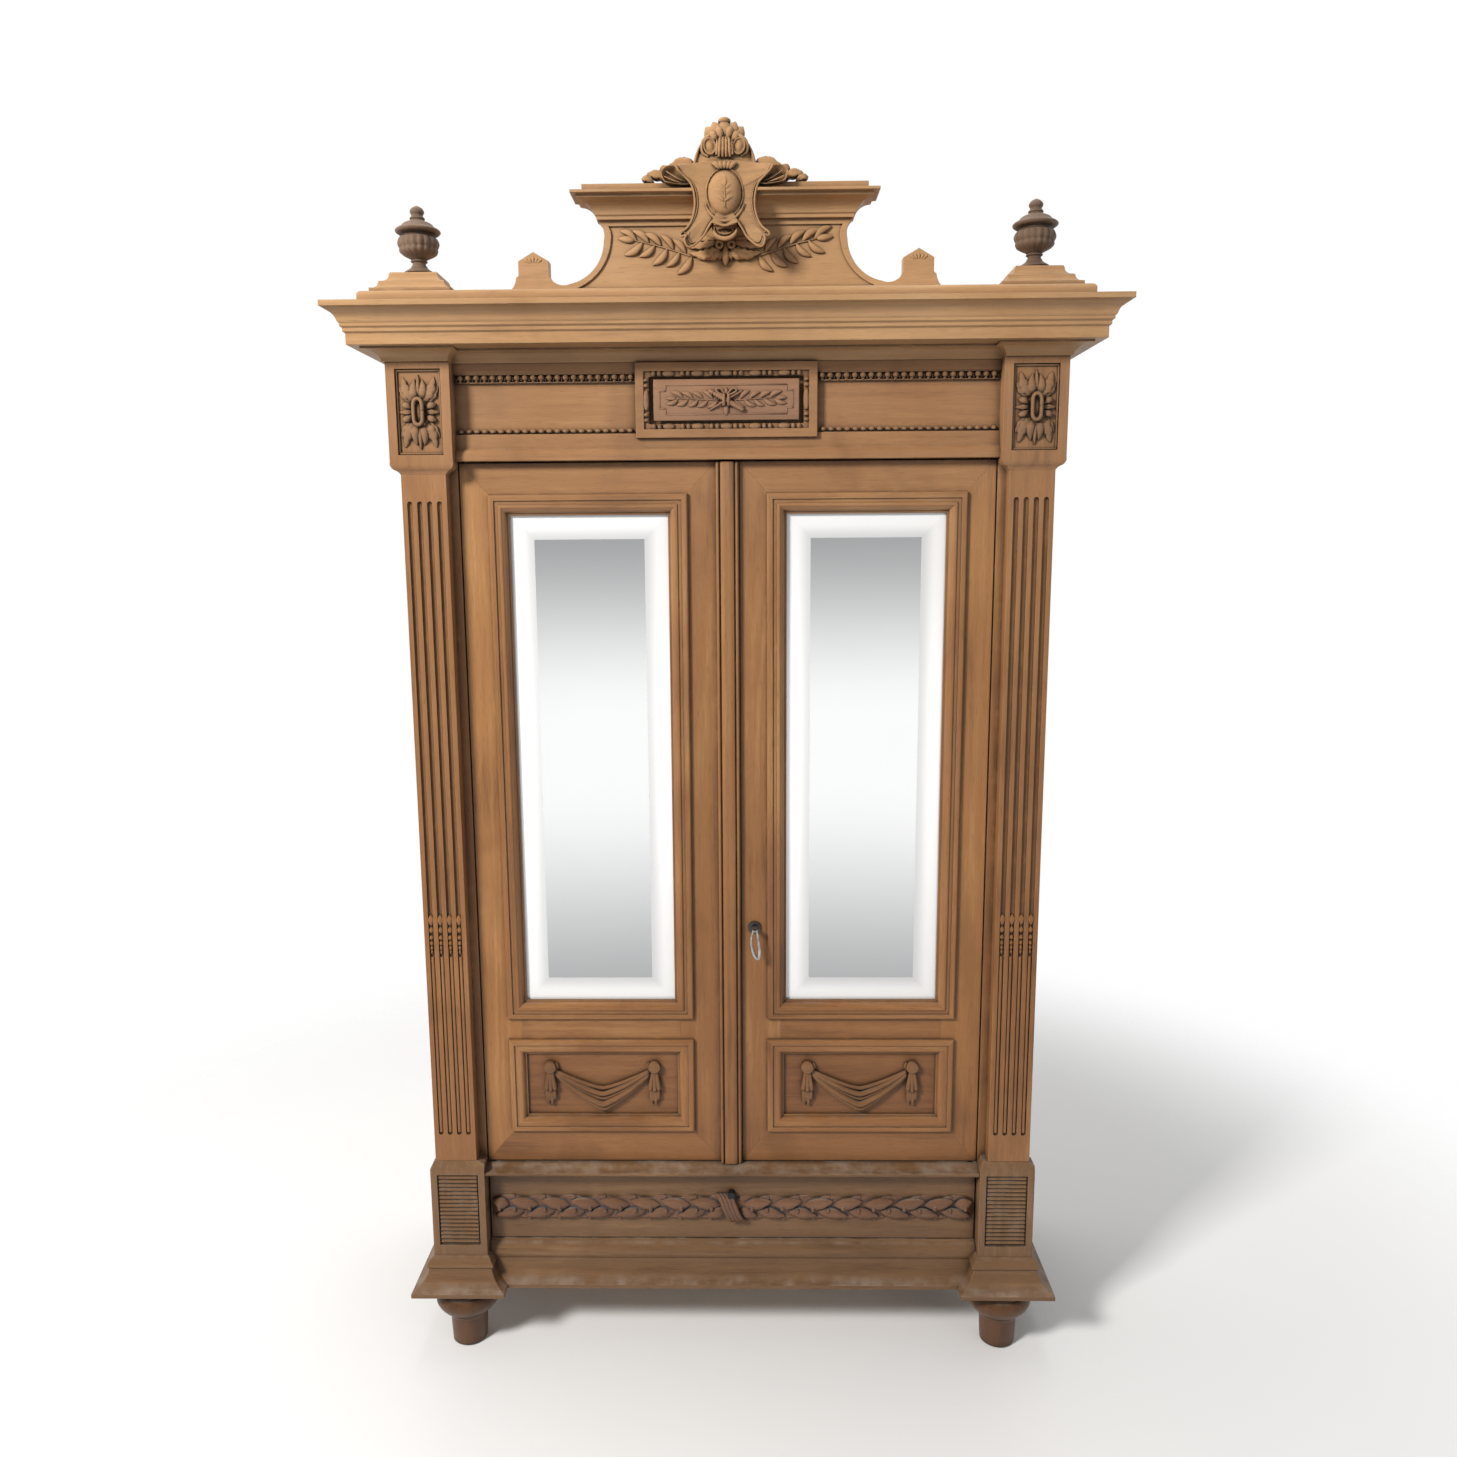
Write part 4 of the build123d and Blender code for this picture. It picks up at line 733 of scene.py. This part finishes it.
# ---------------------------------------------------------------- cartouche and crest
def relief(outline, centre, profile, roll=0.0):
    """A carved patch: a point is C + r (P(s) - C) for an outline P(s), at height w for each (r, w) of the profile.

    A third number of the profile, where there is one, times r cubed and roll, one number per point, is added to w.
    """
    outline, centre = np.asarray(outline, float), np.asarray(centre, float)
    rings = []
    for r, w, *follow in profile:
        height = np.full(len(outline), float(w)) + sum(follow) * r**3 * roll
        rings.append(np.column_stack([centre + r * (outline - centre), height]))
    return loft(rings)


def ellipse(u, v, ru, rv, n=48):
    """n points of an ellipse."""
    a = np.linspace(0, 2 * np.pi, n, endpoint=False)
    return np.stack([u + ru * np.cos(a), v + rv * np.sin(a)], -1)


def closed(half, n):
    """A closed outline from the knots of its right half, top to bottom."""
    line = curve(half, n)
    return np.concatenate([line, (line * (-1, 1))[-2:0:-1]])


SHIELD = [
    (0, 2438), (26, 2438), (42, 2436), (66, 2432), (90, 2426), (84, 2417), (73, 2408), (63, 2398), (57.5, 2383),
    (55.5, 2365), (57, 2349), (61.5, 2334), (69.5, 2320), (82, 2309), (81, 2303), (72, 2304.5), (75, 2297),
    (70, 2285), (60, 2286.5), (49.5, 2295), (40, 2305), (32, 2318), (24, 2328.5), (15, 2325), (0, 2321),
]
SHIELD_MIDDLE = np.array([0, 2376])
EAR = [
    (58, 2400), (66, 2404), (76, 2411), (86, 2420), (92, 2427), (101, 2428), (110, 2426), (118, 2418), (115, 2407),
    (109, 2400), (90, 2397), (70, 2397),
]


def curl(far, v):
    """How far the shield rolls forward: swellings at its ears and its feet, and at the arch between the feet."""
    ear = 13.0 * np.exp(-(((far - 92) / 24) ** 2) - ((v - 2424) / 22) ** 2)
    foot = 11.0 * np.exp(-(((far - 72) / 20) ** 2) - ((v - 2296) / 22) ** 2)
    arch = 9.0 * np.exp(-(((far - 18) / 24) ** 2) - ((v - 2326) / 10) ** 2)
    return ear + foot + arch


def make_cartouche():
    """Strapwork shield: a rolled double rim, ears like curled leaves, a sprig on a domed oval and a rimmed hollow."""
    line = closed(SHIELD, 170)
    profile = [(0.9, 0.0), (0.98, 5.0, 0.6), (1.0, 9.0, 1.0)]
    profile += [(r, 10.5 + 6.0 * (1 - r), 1.0) for r in np.linspace(0.985, 0.05, 34)]
    parts = [relief(line, SHIELD_MIDDLE, profile, curl(np.abs(line[:, 0]), line[:, 1]) + 3.0)]
    for inset, thick, out in ((1.0, 2.1, 13.2), (0.915, 1.1, 12.6)):
        u, v = (SHIELD_MIDDLE + inset * (np.asarray(SHIELD[4:-2], float) - SHIELD_MIDDLE)).T
        for sign in (1, -1):
            knots = np.column_stack([sign * u, v, out + curl(u, v) * inset**3 + 2.0])
            parts.append(rope(knots, [thick, thick, thick * 1.15, thick, thick], n=150, m=8))
    lip = [(-24, 2328.5, 23), (-14, 2325, 22.5), (0, 2321.5, 22), (14, 2325, 22.5), (24, 2328.5, 23)]
    parts.append(rope(lip, 2.4, n=30, m=8))
    for sign in (1, -1):
        loop = curve([*EAR, EAR[0]], 80)[:-1] * (sign, 1)
        dish = [(0.9, -4.0), (1.0, 6.0, 1.0), (1.02, 11.0, 1.0), (0.99, 13.0, 1.0), (0.94, 12.5, 1.0)]
        dish += [(r, 4.0 + 8.0 * r**2, 1.0) for r in np.linspace(0.86, 0.08, 10)]
        lean = 9.0 * np.exp(-(((np.abs(loop[:, 0]) - 104) / 22) ** 2))
        parts.append(relief(loop, (sign * 92, 2410), dish, lean))
        for ridge in ([(70, 2402), (88, 2408), (108, 2419)], [(78, 2400), (96, 2404), (112, 2410)]):
            knots = [(sign * u, v, 9 + 4 * i) for i, (u, v) in enumerate(ridge)]
            parts.append(rope(knots, [1.0, 2.2, 1.2], n=16, m=8))
    dome = [(1.10, 6.0), (1.10, 14.5), (1.06, 16.6), (1.02, 16.0), (0.99, 13.6), (0.96, 14.5),
            (0.92, 18.5), (0.82, 23.0), (0.65, 27.0), (0.45, 29.6), (0.25, 30.8), (0.08, 31.2)]
    parts.append(relief(ellipse(0, 2381, 32.5, 41), (0, 2381), dome))
    stem = [(0, 2352, 27.6), (1, 2366, 30.4), (0, 2380, 31.4), (1, 2390, 31.2)]
    parts.append(rope(stem, [1.0, 1.4, 1.2, 0.8], n=18, m=8))
    for side in (1, -1):
        for v, far in ((2362, 17.0), (2373, 17.0), (2383, 14.0)):
            knots = [(0, v), (side * far * 0.5, v + 6.5), (side * far, v + 8.5)]
            parts.append(blade(knots, 3.4, 2.6, base=30.6 - far * 0.02, vein=0.5, sink=4.0, n=14, m=10, lift=-2.6))
    tip = [(0, 2388), (1, 2397), (0, 2407)]
    parts.append(blade(tip, 3.6, 2.4, base=31.0, vein=0.5, sink=4.0, n=14, m=10, lift=-3.4))
    arc = np.radians(np.linspace(200, 340, 9))
    crescent = [(39 * math.cos(a), 2379 + 48 * math.sin(a), 16.0) for a in arc]
    parts.append(rope(crescent, [0.8, 2.4, 3.2, 3.6, 3.2, 2.4, 0.8], n=40, m=10))
    for lean in (-2, -1, 0, 1, 2):
        knots = [(lean * 4, 2421), (lean * 8, 2430), (lean * 12, 2436 - abs(lean) * 2)]
        parts.append(blade(knots, 5.0, 5.0, base=17.0, vein=0.5, n=12, m=10))
    for drop, thick, out in ((0.0, 3.6, 12.0), (9.5, 2.0, 7.0)):
        cup = [(math.cos(a) * (23 - drop * 0.5), 2322 + math.sin(a) * (21 - drop), out)
               for a in np.radians(np.linspace(180, 360, 9))]
        parts.append(rope(cup, [1.6, thick, thick * 1.2, thick, 1.6], n=36, m=9))
    parts.append(ball(0, 2313, 1, 19, 9, 5, n=7, m=20))
    for u in (-11, -4, 4, 11):
        parts.append(rope([(u, 2320, 4), (u * 0.95, 2313, 6.5), (u * 0.85, 2306, 6)], [0.8, 1.6, 0.8], n=8, m=6))
    piece("cartouche_carving", parts, "case", "honey_carved", FACE + 2, ["cartouche"])


def make_crest():
    """Hood with a rim, fluted strap between two scroll ends, a crown of leaves with a knob, and side leaves."""
    hood = [(0, 2490), (14, 2489.5), (31, 2485.5), (44, 2475), (53, 2459), (58, 2442), (60, 2426), (40, 2419),
            (0, 2418)]
    profile = [(1.0, -42.0), (1.0, -2.0), (1.01, 5.0), (0.985, 8.5), (0.95, 9.5), (0.915, 8.0),
               (0.89, 4.5), (0.86, 5.0), (0.7, 9.5), (0.5, 12.5), (0.3, 14.0), (0.08, 14.6)]
    parts = [relief(closed(hood, 60), (0, 2448), profile)]
    disc = [(0.9, -2.0), (1.0, 4.0), (1.02, 12.0), (0.96, 15.0), (0.88, 15.4), (0.8, 14.0), (0.74, 12.0),
            (0.6, 12.4), (0.4, 14.6), (0.25, 15.6), (0.08, 15.9)]
    for side in (1, -1):
        parts.append(moved(relief(ellipse(0, 0, 12, 15.5, 36), (0, 0), disc), side * 27, 2466, 5, -side * 14))
        parts.append(rope([(side * 17, 2486, 10), (side * 28, 2484, 17), (side * 40, 2474, 16), (side * 41, 2458, 13),
                           (side * 30, 2449, 14)], [2.2, 3.6, 3.4, 3.0, 1.8], n=34, m=9))
        parts.append(rope([(side * 14, 2485, 12), (side * 13, 2468, 20), (side * 15, 2450, 20)], [2.2, 3.4, 2.4],
                          n=20, m=8))
    for k in range(4):
        u = (k - 1.5) * 5.6
        parts.append(rope([(u * 0.8, 2488, 13), (u, 2474, 22), (u * 1.1, 2458, 23), (u * 1.25, 2446, 18)],
                          [2.2, 3.1, 3.2, 2.6], n=22, m=8))
    for u, v, tip_u, tip_v, half, rise in (
        (0, 2478, 0, 2515, 12.0, 15), (5, 2478, 21, 2511, 13.0, 12), (12, 2476, 35, 2503, 13.0, 9),
        (5, 2478, 12, 2502, 8.0, 19), (12, 2476, 27, 2493, 9.0, 16),
    ):
        for side in ((1,) if u == 0 else (1, -1)):
            knots = [(u, v), (u * 0.45 + tip_u * 0.55, v * 0.5 + tip_v * 0.5), (tip_u, tip_v)]
            parts.append(blade(flipped(knots, side), half, 8.0, base=rise, lift=-3.0, vein=0.4, lobes=2, depth=0.1,
                               sink=24, n=20, m=14, broad=0.52))
    parts.append(ball(0, 2512, 8, 12.0, 6.5, 13, n=9, m=18))
    for side in (1, -1):
        for knots, half, rise, lobes in (
            ([(46, 2426), (66, 2441), (90, 2441), (112, 2430)], 12.0, -4.0, 4),
            ([(60, 2434), (76, 2448), (92, 2450)], 8.0, -8.0, 3),
            ([(104, 2410), (120, 2421), (138, 2424), (150, 2414)], 9.0, -4.0, 3),
            ([(132, 2408), (146, 2415), (157, 2417)], 7.5, -2.0, 2),
            ([(96, 2424), (112, 2436), (124, 2430)], 7.0, -8.0, 2),
        ):
            parts.append(blade(flipped(knots, side), half, 8.0, base=rise, vein=0.35, lobes=lobes, depth=0.25,
                               sink=20, n=34, m=16, broad=0.5, ribs=0.12))
    piece("crest_carving", parts, "case", "honey_carved", FACE + 16, ["crest"])


def make_pediment_relief():
    """Hanging centre leaf with drilled eyes, spreading acanthus, two laurel branches and the side tablets."""
    parts = [
        blade([(0, 2308), (0, 2286), (0, 2263)], 7.5, 9.0, base=5.0, vein=0.5, n=26, m=14, broad=0.6),
        both(blade([(2, 2290), (8, 2283), (12, 2274)], 5.0, 6.0, base=5.0, vein=0.4, n=16, m=12)),
    ]
    for side in (1, -1):
        eye = [(side * (11.5 + 5.5 * math.cos(a)), 2301 + 5.5 * math.sin(a), 9.0)
               for a in np.linspace(0, 2 * np.pi, 12)]
        parts.append(rope(eye, 2.9, n=30, m=8))
        for knots, half, lobes, rise in (
            ([(8, 2294), (24, 2288), (46, 2284), (68, 2288)], 11.5, 5, 4.0),
            ([(14, 2306), (32, 2303), (52, 2300), (72, 2298)], 9.0, 4, 2.0),
            ([(10, 2290), (20, 2281), (30, 2275)], 7.5, 2, 5.0),
            ([(26, 2288), (38, 2280), (48, 2277)], 6.5, 2, 5.0),
            ([(18, 2312), (38, 2313), (56, 2308)], 6.0, 3, 0.0),
        ):
            parts.append(blade(flipped(knots, side), half, 7.5, base=rise, vein=0.4, lobes=lobes, depth=0.28, n=32,
                               m=14, ribs=0.12))
    for seed, turned in ((11, 1), (12, -1)):
        branch = moved(sprig(126.0, 10, 40.0, seed, rise=32.0, height=5.5, spread=50.0), 60, 2281, 0.5)
        parts.append(branch if turned > 0 else mirrored(branch))
    for side in (1, -1):
        a, b = sorted((side * 348.0, side * 392.0))
        for low_u, low_v, high_u, high_v in ((a, 2244, b, 2246.4), (a, 2263.6, b, 2266), (a, 2244, a + 2.4, 2266),
                                             (b - 2.4, 2244, b, 2266)):
            parts.append(strip(low_u, low_v, high_u, high_v, -3, 2.0, 0.5))
        for lean in (-2, -1, 0, 1, 2):
            knots = [(side * 370 + lean * 2, 2271), (side * 370 + lean * 7, 2280 - abs(lean)),
                     (side * 370 + lean * 9, 2289 - abs(lean) * 4)]
            parts.append(blade(knots, 3.6, 4.0, base=1.0, vein=0.3, n=12, m=10))
    piece("pediment_carving", parts, "case", "honey_carved", FACE + 41, ["pediment_relief"])


make_cartouche()
make_crest()
make_pediment_relief()


# ---------------------------------------------------------------- rosettes of the capitals
CAPITAL_U, CAPITAL_V = 591.5, 1991.5


def make_rosettes():
    """In each capital: a thin frame, a slotted capsule between leaf buds above, below and beside it, corner leaves."""
    parts = []
    for side in (1, -1):
        flower = []
        border = [strip(*edges, -2, 3.5, 1.0)
                  for edges in ((-44, -80, 44, -76), (-44, 76, 44, 80), (-44, -76, -40, 76), (40, -76, 44, 76))]
        turn = np.linspace(0, 2 * np.pi, 29)
        capsule = [(8.2 * math.cos(a), 16 * np.sign(math.sin(a)) * abs(math.sin(a)) ** 0.2 + 8.2 * math.sin(a), 13.5)
                   for a in turn]
        flower.append(rope(capsule, 3.6, n=60, m=9))
        flower.append(ball(0, 0, 5, 9, 22, 6, n=9, m=18))
        for up in (1, -1):
            for flip_u in (1, -1):
                bud = [(flip_u * 5, up * 24), (flip_u * 9, up * 42), (flip_u * 7, up * 62)]
                flower.append(blade(bud, 8.5, 10.0, base=3.0, vein=0.15, n=18, m=12, broad=0.4, lift=-2))
                outer = [(flip_u * 8, up * 20), (flip_u * 22, up * 38), (flip_u * 30, up * 66)]
                flower.append(blade(outer, 12.0, 7.0, base=1.5, vein=0.4, lobes=4, depth=0.3, n=30, m=14, ribs=0.1))
                corner = [(flip_u * 14, up * 16), (flip_u * 28, up * 32), (flip_u * 37, up * 48)]
                flower.append(blade(corner, 7.5, 5.5, base=0.5, vein=0.4, lobes=3, depth=0.25, n=22, m=12))
                petal = [(flip_u * 10, up * 5), (flip_u * 22, up * 12), (flip_u * 33, up * 15)]
                flower.append(blade(petal, 6.5, 8.5, base=3.0, vein=0.15, n=16, m=12, broad=0.55))
            flower.append(blade([(0, up * 26), (0, up * 46), (0, up * 70)], 5.0, 7.0, base=2.0, vein=0.4, n=16, m=10))
        for flip_u in (1, -1):
            flower.append(blade([(flip_u * 10, 0), (flip_u * 24, 0), (flip_u * 39, 0)], 6.0, 7.0, base=2.0, vein=0.4,
                                lobes=3, depth=0.2, n=20, m=12))
        points, faces = join(flower)
        parts.append(moved(join(border), side * CAPITAL_U, CAPITAL_V))
        parts.append(moved((points * (1.02, 1.0, 1.07), faces), side * CAPITAL_U, CAPITAL_V))
    piece("rosette_carving", parts, "case", "walnut_carved", FACE - 1, ["rosettes"])


make_rosettes()


# ---------------------------------------------------------------- swags of the doors
BOSS_U, BOSS_V, BOSS_RADIUS = 112.0, 631.0, 13.2
KNOB = [(0.9, -2), (1.0, 6), (1.0, 9.5), (0.95, 12.6), (0.88, 13.4), (0.8, 13.2), (0.6, 13.6), (0.4, 13.9),
        (0.2, 14.1), (0.06, 14.2)]


def make_swag(name, side):
    """Drapery between two round bosses: folds along v = v0 - sag (1 - |t| ** 1.35), and tails in two tiers."""
    parts = []
    t = np.linspace(-1, 1, 44)
    for k, (thick, proud) in enumerate(((3.4, 0.0), (5.2, 2.6), (3.6, 0.6), (6.4, 3.2), (4.4, 0.0))):
        sag = 42.0 + k * 8.6
        v = 625 - 2.6 * k - sag * (1 - np.abs(t) ** 1.35) - 2.5 * np.exp(-((t / 0.1) ** 2)) * (k / 4)
        w = 3.6 + (3.6 + proud) * (1 - t**2)
        radius = 2.1 + (thick - 1.4) * (1 - np.abs(t) ** 2.4)
        knots = np.column_stack([t * 106, v, w])[::2]
        parts.append(rope(knots, radius[::2], n=44, m=9))
    for end in (1, -1):
        u0 = end * BOSS_U
        parts.append(relief(ellipse(u0, BOSS_V, BOSS_RADIUS, BOSS_RADIUS, 36), (u0, BOSS_V), KNOB))
        for k in range(3):
            lean = (k - 1) * 7.2
            length = 52 - abs(lean) * 0.5
            knots = [(u0 + lean * 0.5, 622, 6), (u0 + lean * 0.9, 600, 8), (u0 + lean * 1.25, 622 - length * 0.86, 8.5)]
            parts.append(rope(knots, [3.2, 4.0, 4.6, 5.4, 5.2], n=22, m=9))
        for k in range(4):
            lean = (k - 1.5) * 5.2
            length = 80 - (9 if k % 2 else 0) - abs(lean) * 0.6
            knots = [(u0 + lean * 0.8, 590, 4), (u0 + lean, 566, 6.0), (u0 + lean * 0.8, 622 - length, 4.5)]
            parts.append(rope(knots, [3.2, 4.0, 4.4, 4.2, 3.0], n=22, m=9))
        edge = [(u0 - end * 11, 640), (u0 - end * 15, 632), (u0 - end * 11, 620)]
        parts.append(blade(edge, 3.4, 6.0, base=3, n=12, m=10))
    parts = [moved(join(parts), side * DOOR_MIDDLE * 1000.0)]
    piece(f"{name}_swag_carving", parts, f"{name}_door", "walnut_carved", FACE + 42, [f"{name}_door_swag"])


make_swag("left", -1)
make_swag("right", 1)


# ---------------------------------------------------------------- finials, feet and flute husks
FINIAL_U, FINIAL_Y = 587.0, FACE + 28.0
FOOT_U, FOOT_Y = 584.0, FACE + 26.0
PILASTER_U, FLUTES = 591.0, (-29.25, -9.75, 9.75, 29.25)


def lathe(knots, u0, y0, n, m, lobes=0, low_z=0.0, high_z=0.0, deep=0.0):
    """A turned shape: radius r(z) from the knots, times 1 - deep |sin(lobes a / 2)| ** 0.6 between low_z and high_z."""
    line = np.asarray(knots, float)
    along = np.concatenate([[0], np.cumsum(np.hypot(*np.diff(line, axis=0).T))])
    t = np.sort(np.concatenate([np.linspace(0, along[-1], n), along]))
    r, z = np.interp(t, along, line[:, 0]), np.interp(t, along, line[:, 1])
    a = np.linspace(0, 2 * np.pi, m, endpoint=False)
    inside = np.clip((z - low_z) / 4.0, 0, 1) * np.clip((high_z - z) / 4.0, 0, 1) if lobes else np.zeros(len(z))
    flute = 1 - deep * (1 - np.abs(np.sin(lobes * a / 2)) ** 0.6)[None] * inside[:, None]
    radius = r[:, None] * flute
    ring = np.stack([u0 + radius * np.cos(a), y0 + radius * np.sin(a), np.repeat(z[:, None], m, 1)], -1)
    points, faces = loft(ring)
    return points / 1000.0, faces


def arcs(knots):
    """Turned profile with rounded members: knots (r, z, bulge) joined by half sine swellings of that bulge."""
    out = []
    for (r0, z0, bulge), (r1, z1, _) in zip(knots, knots[1:]):
        for t in np.linspace(0, 1, 7, endpoint=False):
            out.append((r0 + (r1 - r0) * t + bulge * math.sin(math.pi * t), z0 + (z1 - z0) * t))
    return out + [knots[-1][:2]]


def make_finials():
    """Turned urns: a foot, a gadrooned bowl, a lid with rings and an acorn tip."""
    shape = arcs([
        (27, 2244, 0), (27, 2249, 3.5), (24, 2257, -2), (14.5, 2266, -1.5), (13, 2272, 3.0), (13, 2277, 0),
        (20, 2281, 6.5), (36, 2298, 3.5), (36, 2316, 0), (30, 2319, -2.0), (31, 2323, 0), (39, 2325, 3.6),
        (39, 2333, 0), (34, 2335, 0), (30, 2339, 2.0), (19, 2346, -1.0), (13, 2350, 1.6), (12.5, 2355, -1.2),
        (11.5, 2360, 2.2), (11, 2370, 1.2), (1, 2376, 0),
    ])
    parts = [lathe(shape, side * FINIAL_U, FINIAL_Y, 160, 72, 18, 2279, 2317, 0.09) for side in (1, -1)]
    place, faces = join(parts)
    add_mesh("finial_turnings", place, faces, "case", "umber", ["finials"])


def make_feet():
    """Front feet: a tapered peg, a wide bun with ring lines and a neck; the back feet are plain blocks."""
    shape = arcs([
        (2, 0, 0), (33, 0, 0), (37, 3, 0.5), (39.5, 62, 0), (41, 66, 1.5), (44, 74, -1.0), (52, 80, 1.0), (56, 84, 0),
        (60, 86, 8.5), (62, 122, 0), (57, 124, 1.5), (56, 129, 0), (52, 130, -2), (52, 144, 0), (2, 144, 0),
    ])
    parts = [lathe(shape, side * FOOT_U, FOOT_Y, 120, 64) for side in (1, -1)]
    low_y, high_y = 215.0, 290.0
    for side in (1, -1):
        a, b = sorted((side * (FOOT_U - 38.0), side * (FOOT_U + 38.0)))
        box = np.array([(a, low_y), (b, low_y), (b, high_y), (a, high_y)])
        centre = box.mean(0)
        rings = [np.column_stack([centre + (box - centre) * k, np.full(4, z)])
                 for k, z in ((0.93, 0.0), (0.95, 2.0), (1.0, 30.0), (1.0, 143.0))]
        points, faces = loft(rings)
        parts.append((points / 1000.0, faces))
    place, faces = join(parts)
    add_mesh("turned_feet", place, faces, "case", "greyed_feet", ["feet"])


def make_husks():
    """A bud, a lozenge and four shrinking drops hanging at the foot of each flute."""
    parts = []
    for side in (1, -1):
        for offset in FLUTES:
            u = side * PILASTER_U + offset
            parts.append(blade([(u, 982), (u, 970), (u, 956)], 6.4, 7.0, base=-4.0, vein=0.25, n=14, m=12, broad=0.45))
            parts.append(blade([(u, 957), (u, 949), (u, 940)], 5.6, 6.0, base=-4.0, vein=0.0, n=10, m=8, broad=0.5))
            for v, half in ((933, 4.6), (921, 4.0), (911, 3.3), (902, 2.6)):
                parts.append(ball(u, v, -2.5, half, 5.4, 5.5, n=7, m=10))
    piece("flute_husks", parts, "case", "walnut_up", FACE)


make_finials()
make_feet()
make_husks()


# ---------------------------------------------------------------- key
def make_bow():
    """A horn-like bow hanging from the key's fork: a tapered loop, thick at its foot, and the pin it swings on."""
    knots = [(47.5, 942, 0), (44.5, 930, 0), (45, 912, 1), (51, 893, 2), (58, 886, 2), (61, 896, 2), (60, 914, 1),
             (58, 931, 0), (56.5, 942, 0)]
    parts = [rope(knots, [2.0, 2.6, 3.4, 3.9, 3.4, 2.6, 2.0], n=60, m=12)]
    parts.append(rope([(46, 944, 0), (52, 944.5, 0), (58, 944, 0)], [2.2, 2.4, 2.2], n=10, m=10))
    piece("key_bow_forging", parts, "key_bow", "steel", FACE + 5, ["key_bow"])


make_bow()


# ---------------------------------------------------------------- studio
FLOOR_HALF = 2.6


def make_floor():
    """A pale floor that fades into the white round it, with painted shade in front: greyer there, where only the
    mirrors see it.
    """
    made, tree, skin = new_material("floor")
    place = put(tree, "ShaderNodeTexCoord").outputs["Object"]
    depth = put(tree, "ShaderNodeSeparateXYZ", {0: place}).outputs[1]
    mottle = noise(tree, place, 1.3, 4.0, 0.5)
    pale = blend(tree, mottle, (0.88, 0.88, 0.88, 1.0), (0.84, 0.84, 0.84, 1.0))
    # Painted shade: grey in front of the object, where only the mirrors see the floor.
    colour = blend(tree, ramp(tree, depth, -1.7, -1.0), (0.36, 0.36, 0.365, 1.0), pale)
    tree.links.new(colour, skin.inputs["Base Color"])
    tree.links.new(ramp(tree, vector_calc(tree, "LENGTH", place), 2.5, 1.3), skin.inputs["Alpha"])
    skin.inputs["Roughness"].default_value = 0.75
    mesh = bpy.data.meshes.new("studio_floor")
    corners = [(-FLOOR_HALF, -FLOOR_HALF, 0), (FLOOR_HALF, -FLOOR_HALF, 0), (FLOOR_HALF, FLOOR_HALF, 0),
               (-FLOOR_HALF, FLOOR_HALF, 0)]
    mesh.from_pydata(corners, [], [(0, 1, 2, 3)])
    mesh.materials.append(made)
    sheet = bpy.data.objects.new("studio_floor", mesh)
    bpy.context.scene.collection.objects.link(sheet)


def make_world():
    """White round the object; what the mirrors see of the room goes grey, white and grey again as it goes down."""
    world = bpy.data.worlds.new("studio")
    bpy.context.scene.world = world
    world.use_nodes = True
    tree = world.node_tree
    incoming = put(tree, "ShaderNodeNewGeometry").outputs["Incoming"]
    way = vector_calc(tree, "MULTIPLY", incoming, (-1.0, -1.0, -1.0))
    parts = put(tree, "ShaderNodeSeparateXYZ", {0: way}).outputs
    over = blend(tree, ramp(tree, parts[2], -0.15, 0.03), (1.0, 1.0, 1.0, 1.0), (0.37, 0.372, 0.375, 1.0))
    room = blend(tree, ramp(tree, parts[2], -0.20, -0.40), over, (0.42, 0.422, 0.425, 1.0))
    behind = ramp(tree, parts[1], -0.15, 0.05)
    path = put(tree, "ShaderNodeLightPath").outputs
    lit = blend(tree, behind, room, (0.72, 0.72, 0.72, 1.0))
    lit = blend(tree, path["Is Camera Ray"], lit, (1.0, 1.0, 1.0, 1.0))
    tree.links.new(lit, tree.nodes["Background"].inputs["Color"])
    power = calc(tree, "MULTIPLY_ADD", path["Is Diffuse Ray"], -0.3, 1.0)
    tree.links.new(power, tree.nodes["Background"].inputs["Strength"])


def area(name, place, target, size, power, tint=(1.0, 1.0, 1.0)):
    """A soft square light at place, facing target."""
    lamp = bpy.data.lights.new(name, "AREA")
    lamp.shape, lamp.size, lamp.energy, lamp.color = "SQUARE", size, power, tint
    made = bpy.data.objects.new(name, lamp)
    made.location = place
    made.rotation_euler = (Vector(target) - Vector(place)).to_track_quat("-Z", "Y").to_euler()
    made.visible_glossy = False
    bpy.context.scene.collection.objects.link(made)


make_floor()
make_world()
area("key", (-3.2, -3.4, 4.0), (0.0, 0.0, 1.8), 1.0, 350.0, (1.0, 0.975, 0.94))
area("fill", (3.4, -3.2, 2.0), (0.0, 0.0, 1.1), 2.4, 22.0)
area("top", (0.0, 0.8, 4.6), (0.0, 0.0, 0.0), 2.5, 60.0)

# ---------------------------------------------------------------- camera
STAND = (0.03654, -2.43444, 1.72498)
yaw, pitch, roll = (math.radians(a) for a in (-0.930, -9.008, -0.382))
forward = Vector((math.sin(yaw) * math.cos(pitch), math.cos(yaw) * math.cos(pitch), math.sin(pitch)))
level = Vector((math.cos(yaw), -math.sin(yaw), 0.0))
upward = level.cross(forward)
right = math.cos(roll) * level + math.sin(roll) * upward
rise = -math.sin(roll) * level + math.cos(roll) * upward
lens = bpy.data.cameras.new("camera")
lens.sensor_width, lens.lens = 36.0, 27.782
camera = bpy.data.objects.new("camera", lens)
turn = Matrix((right, rise, -forward)).transposed().to_4x4()
camera.matrix_world = Matrix.Translation(STAND) @ turn
bpy.context.scene.collection.objects.link(camera)
bpy.context.scene.camera = camera
bpy.context.scene.view_settings.view_transform = "Standard"
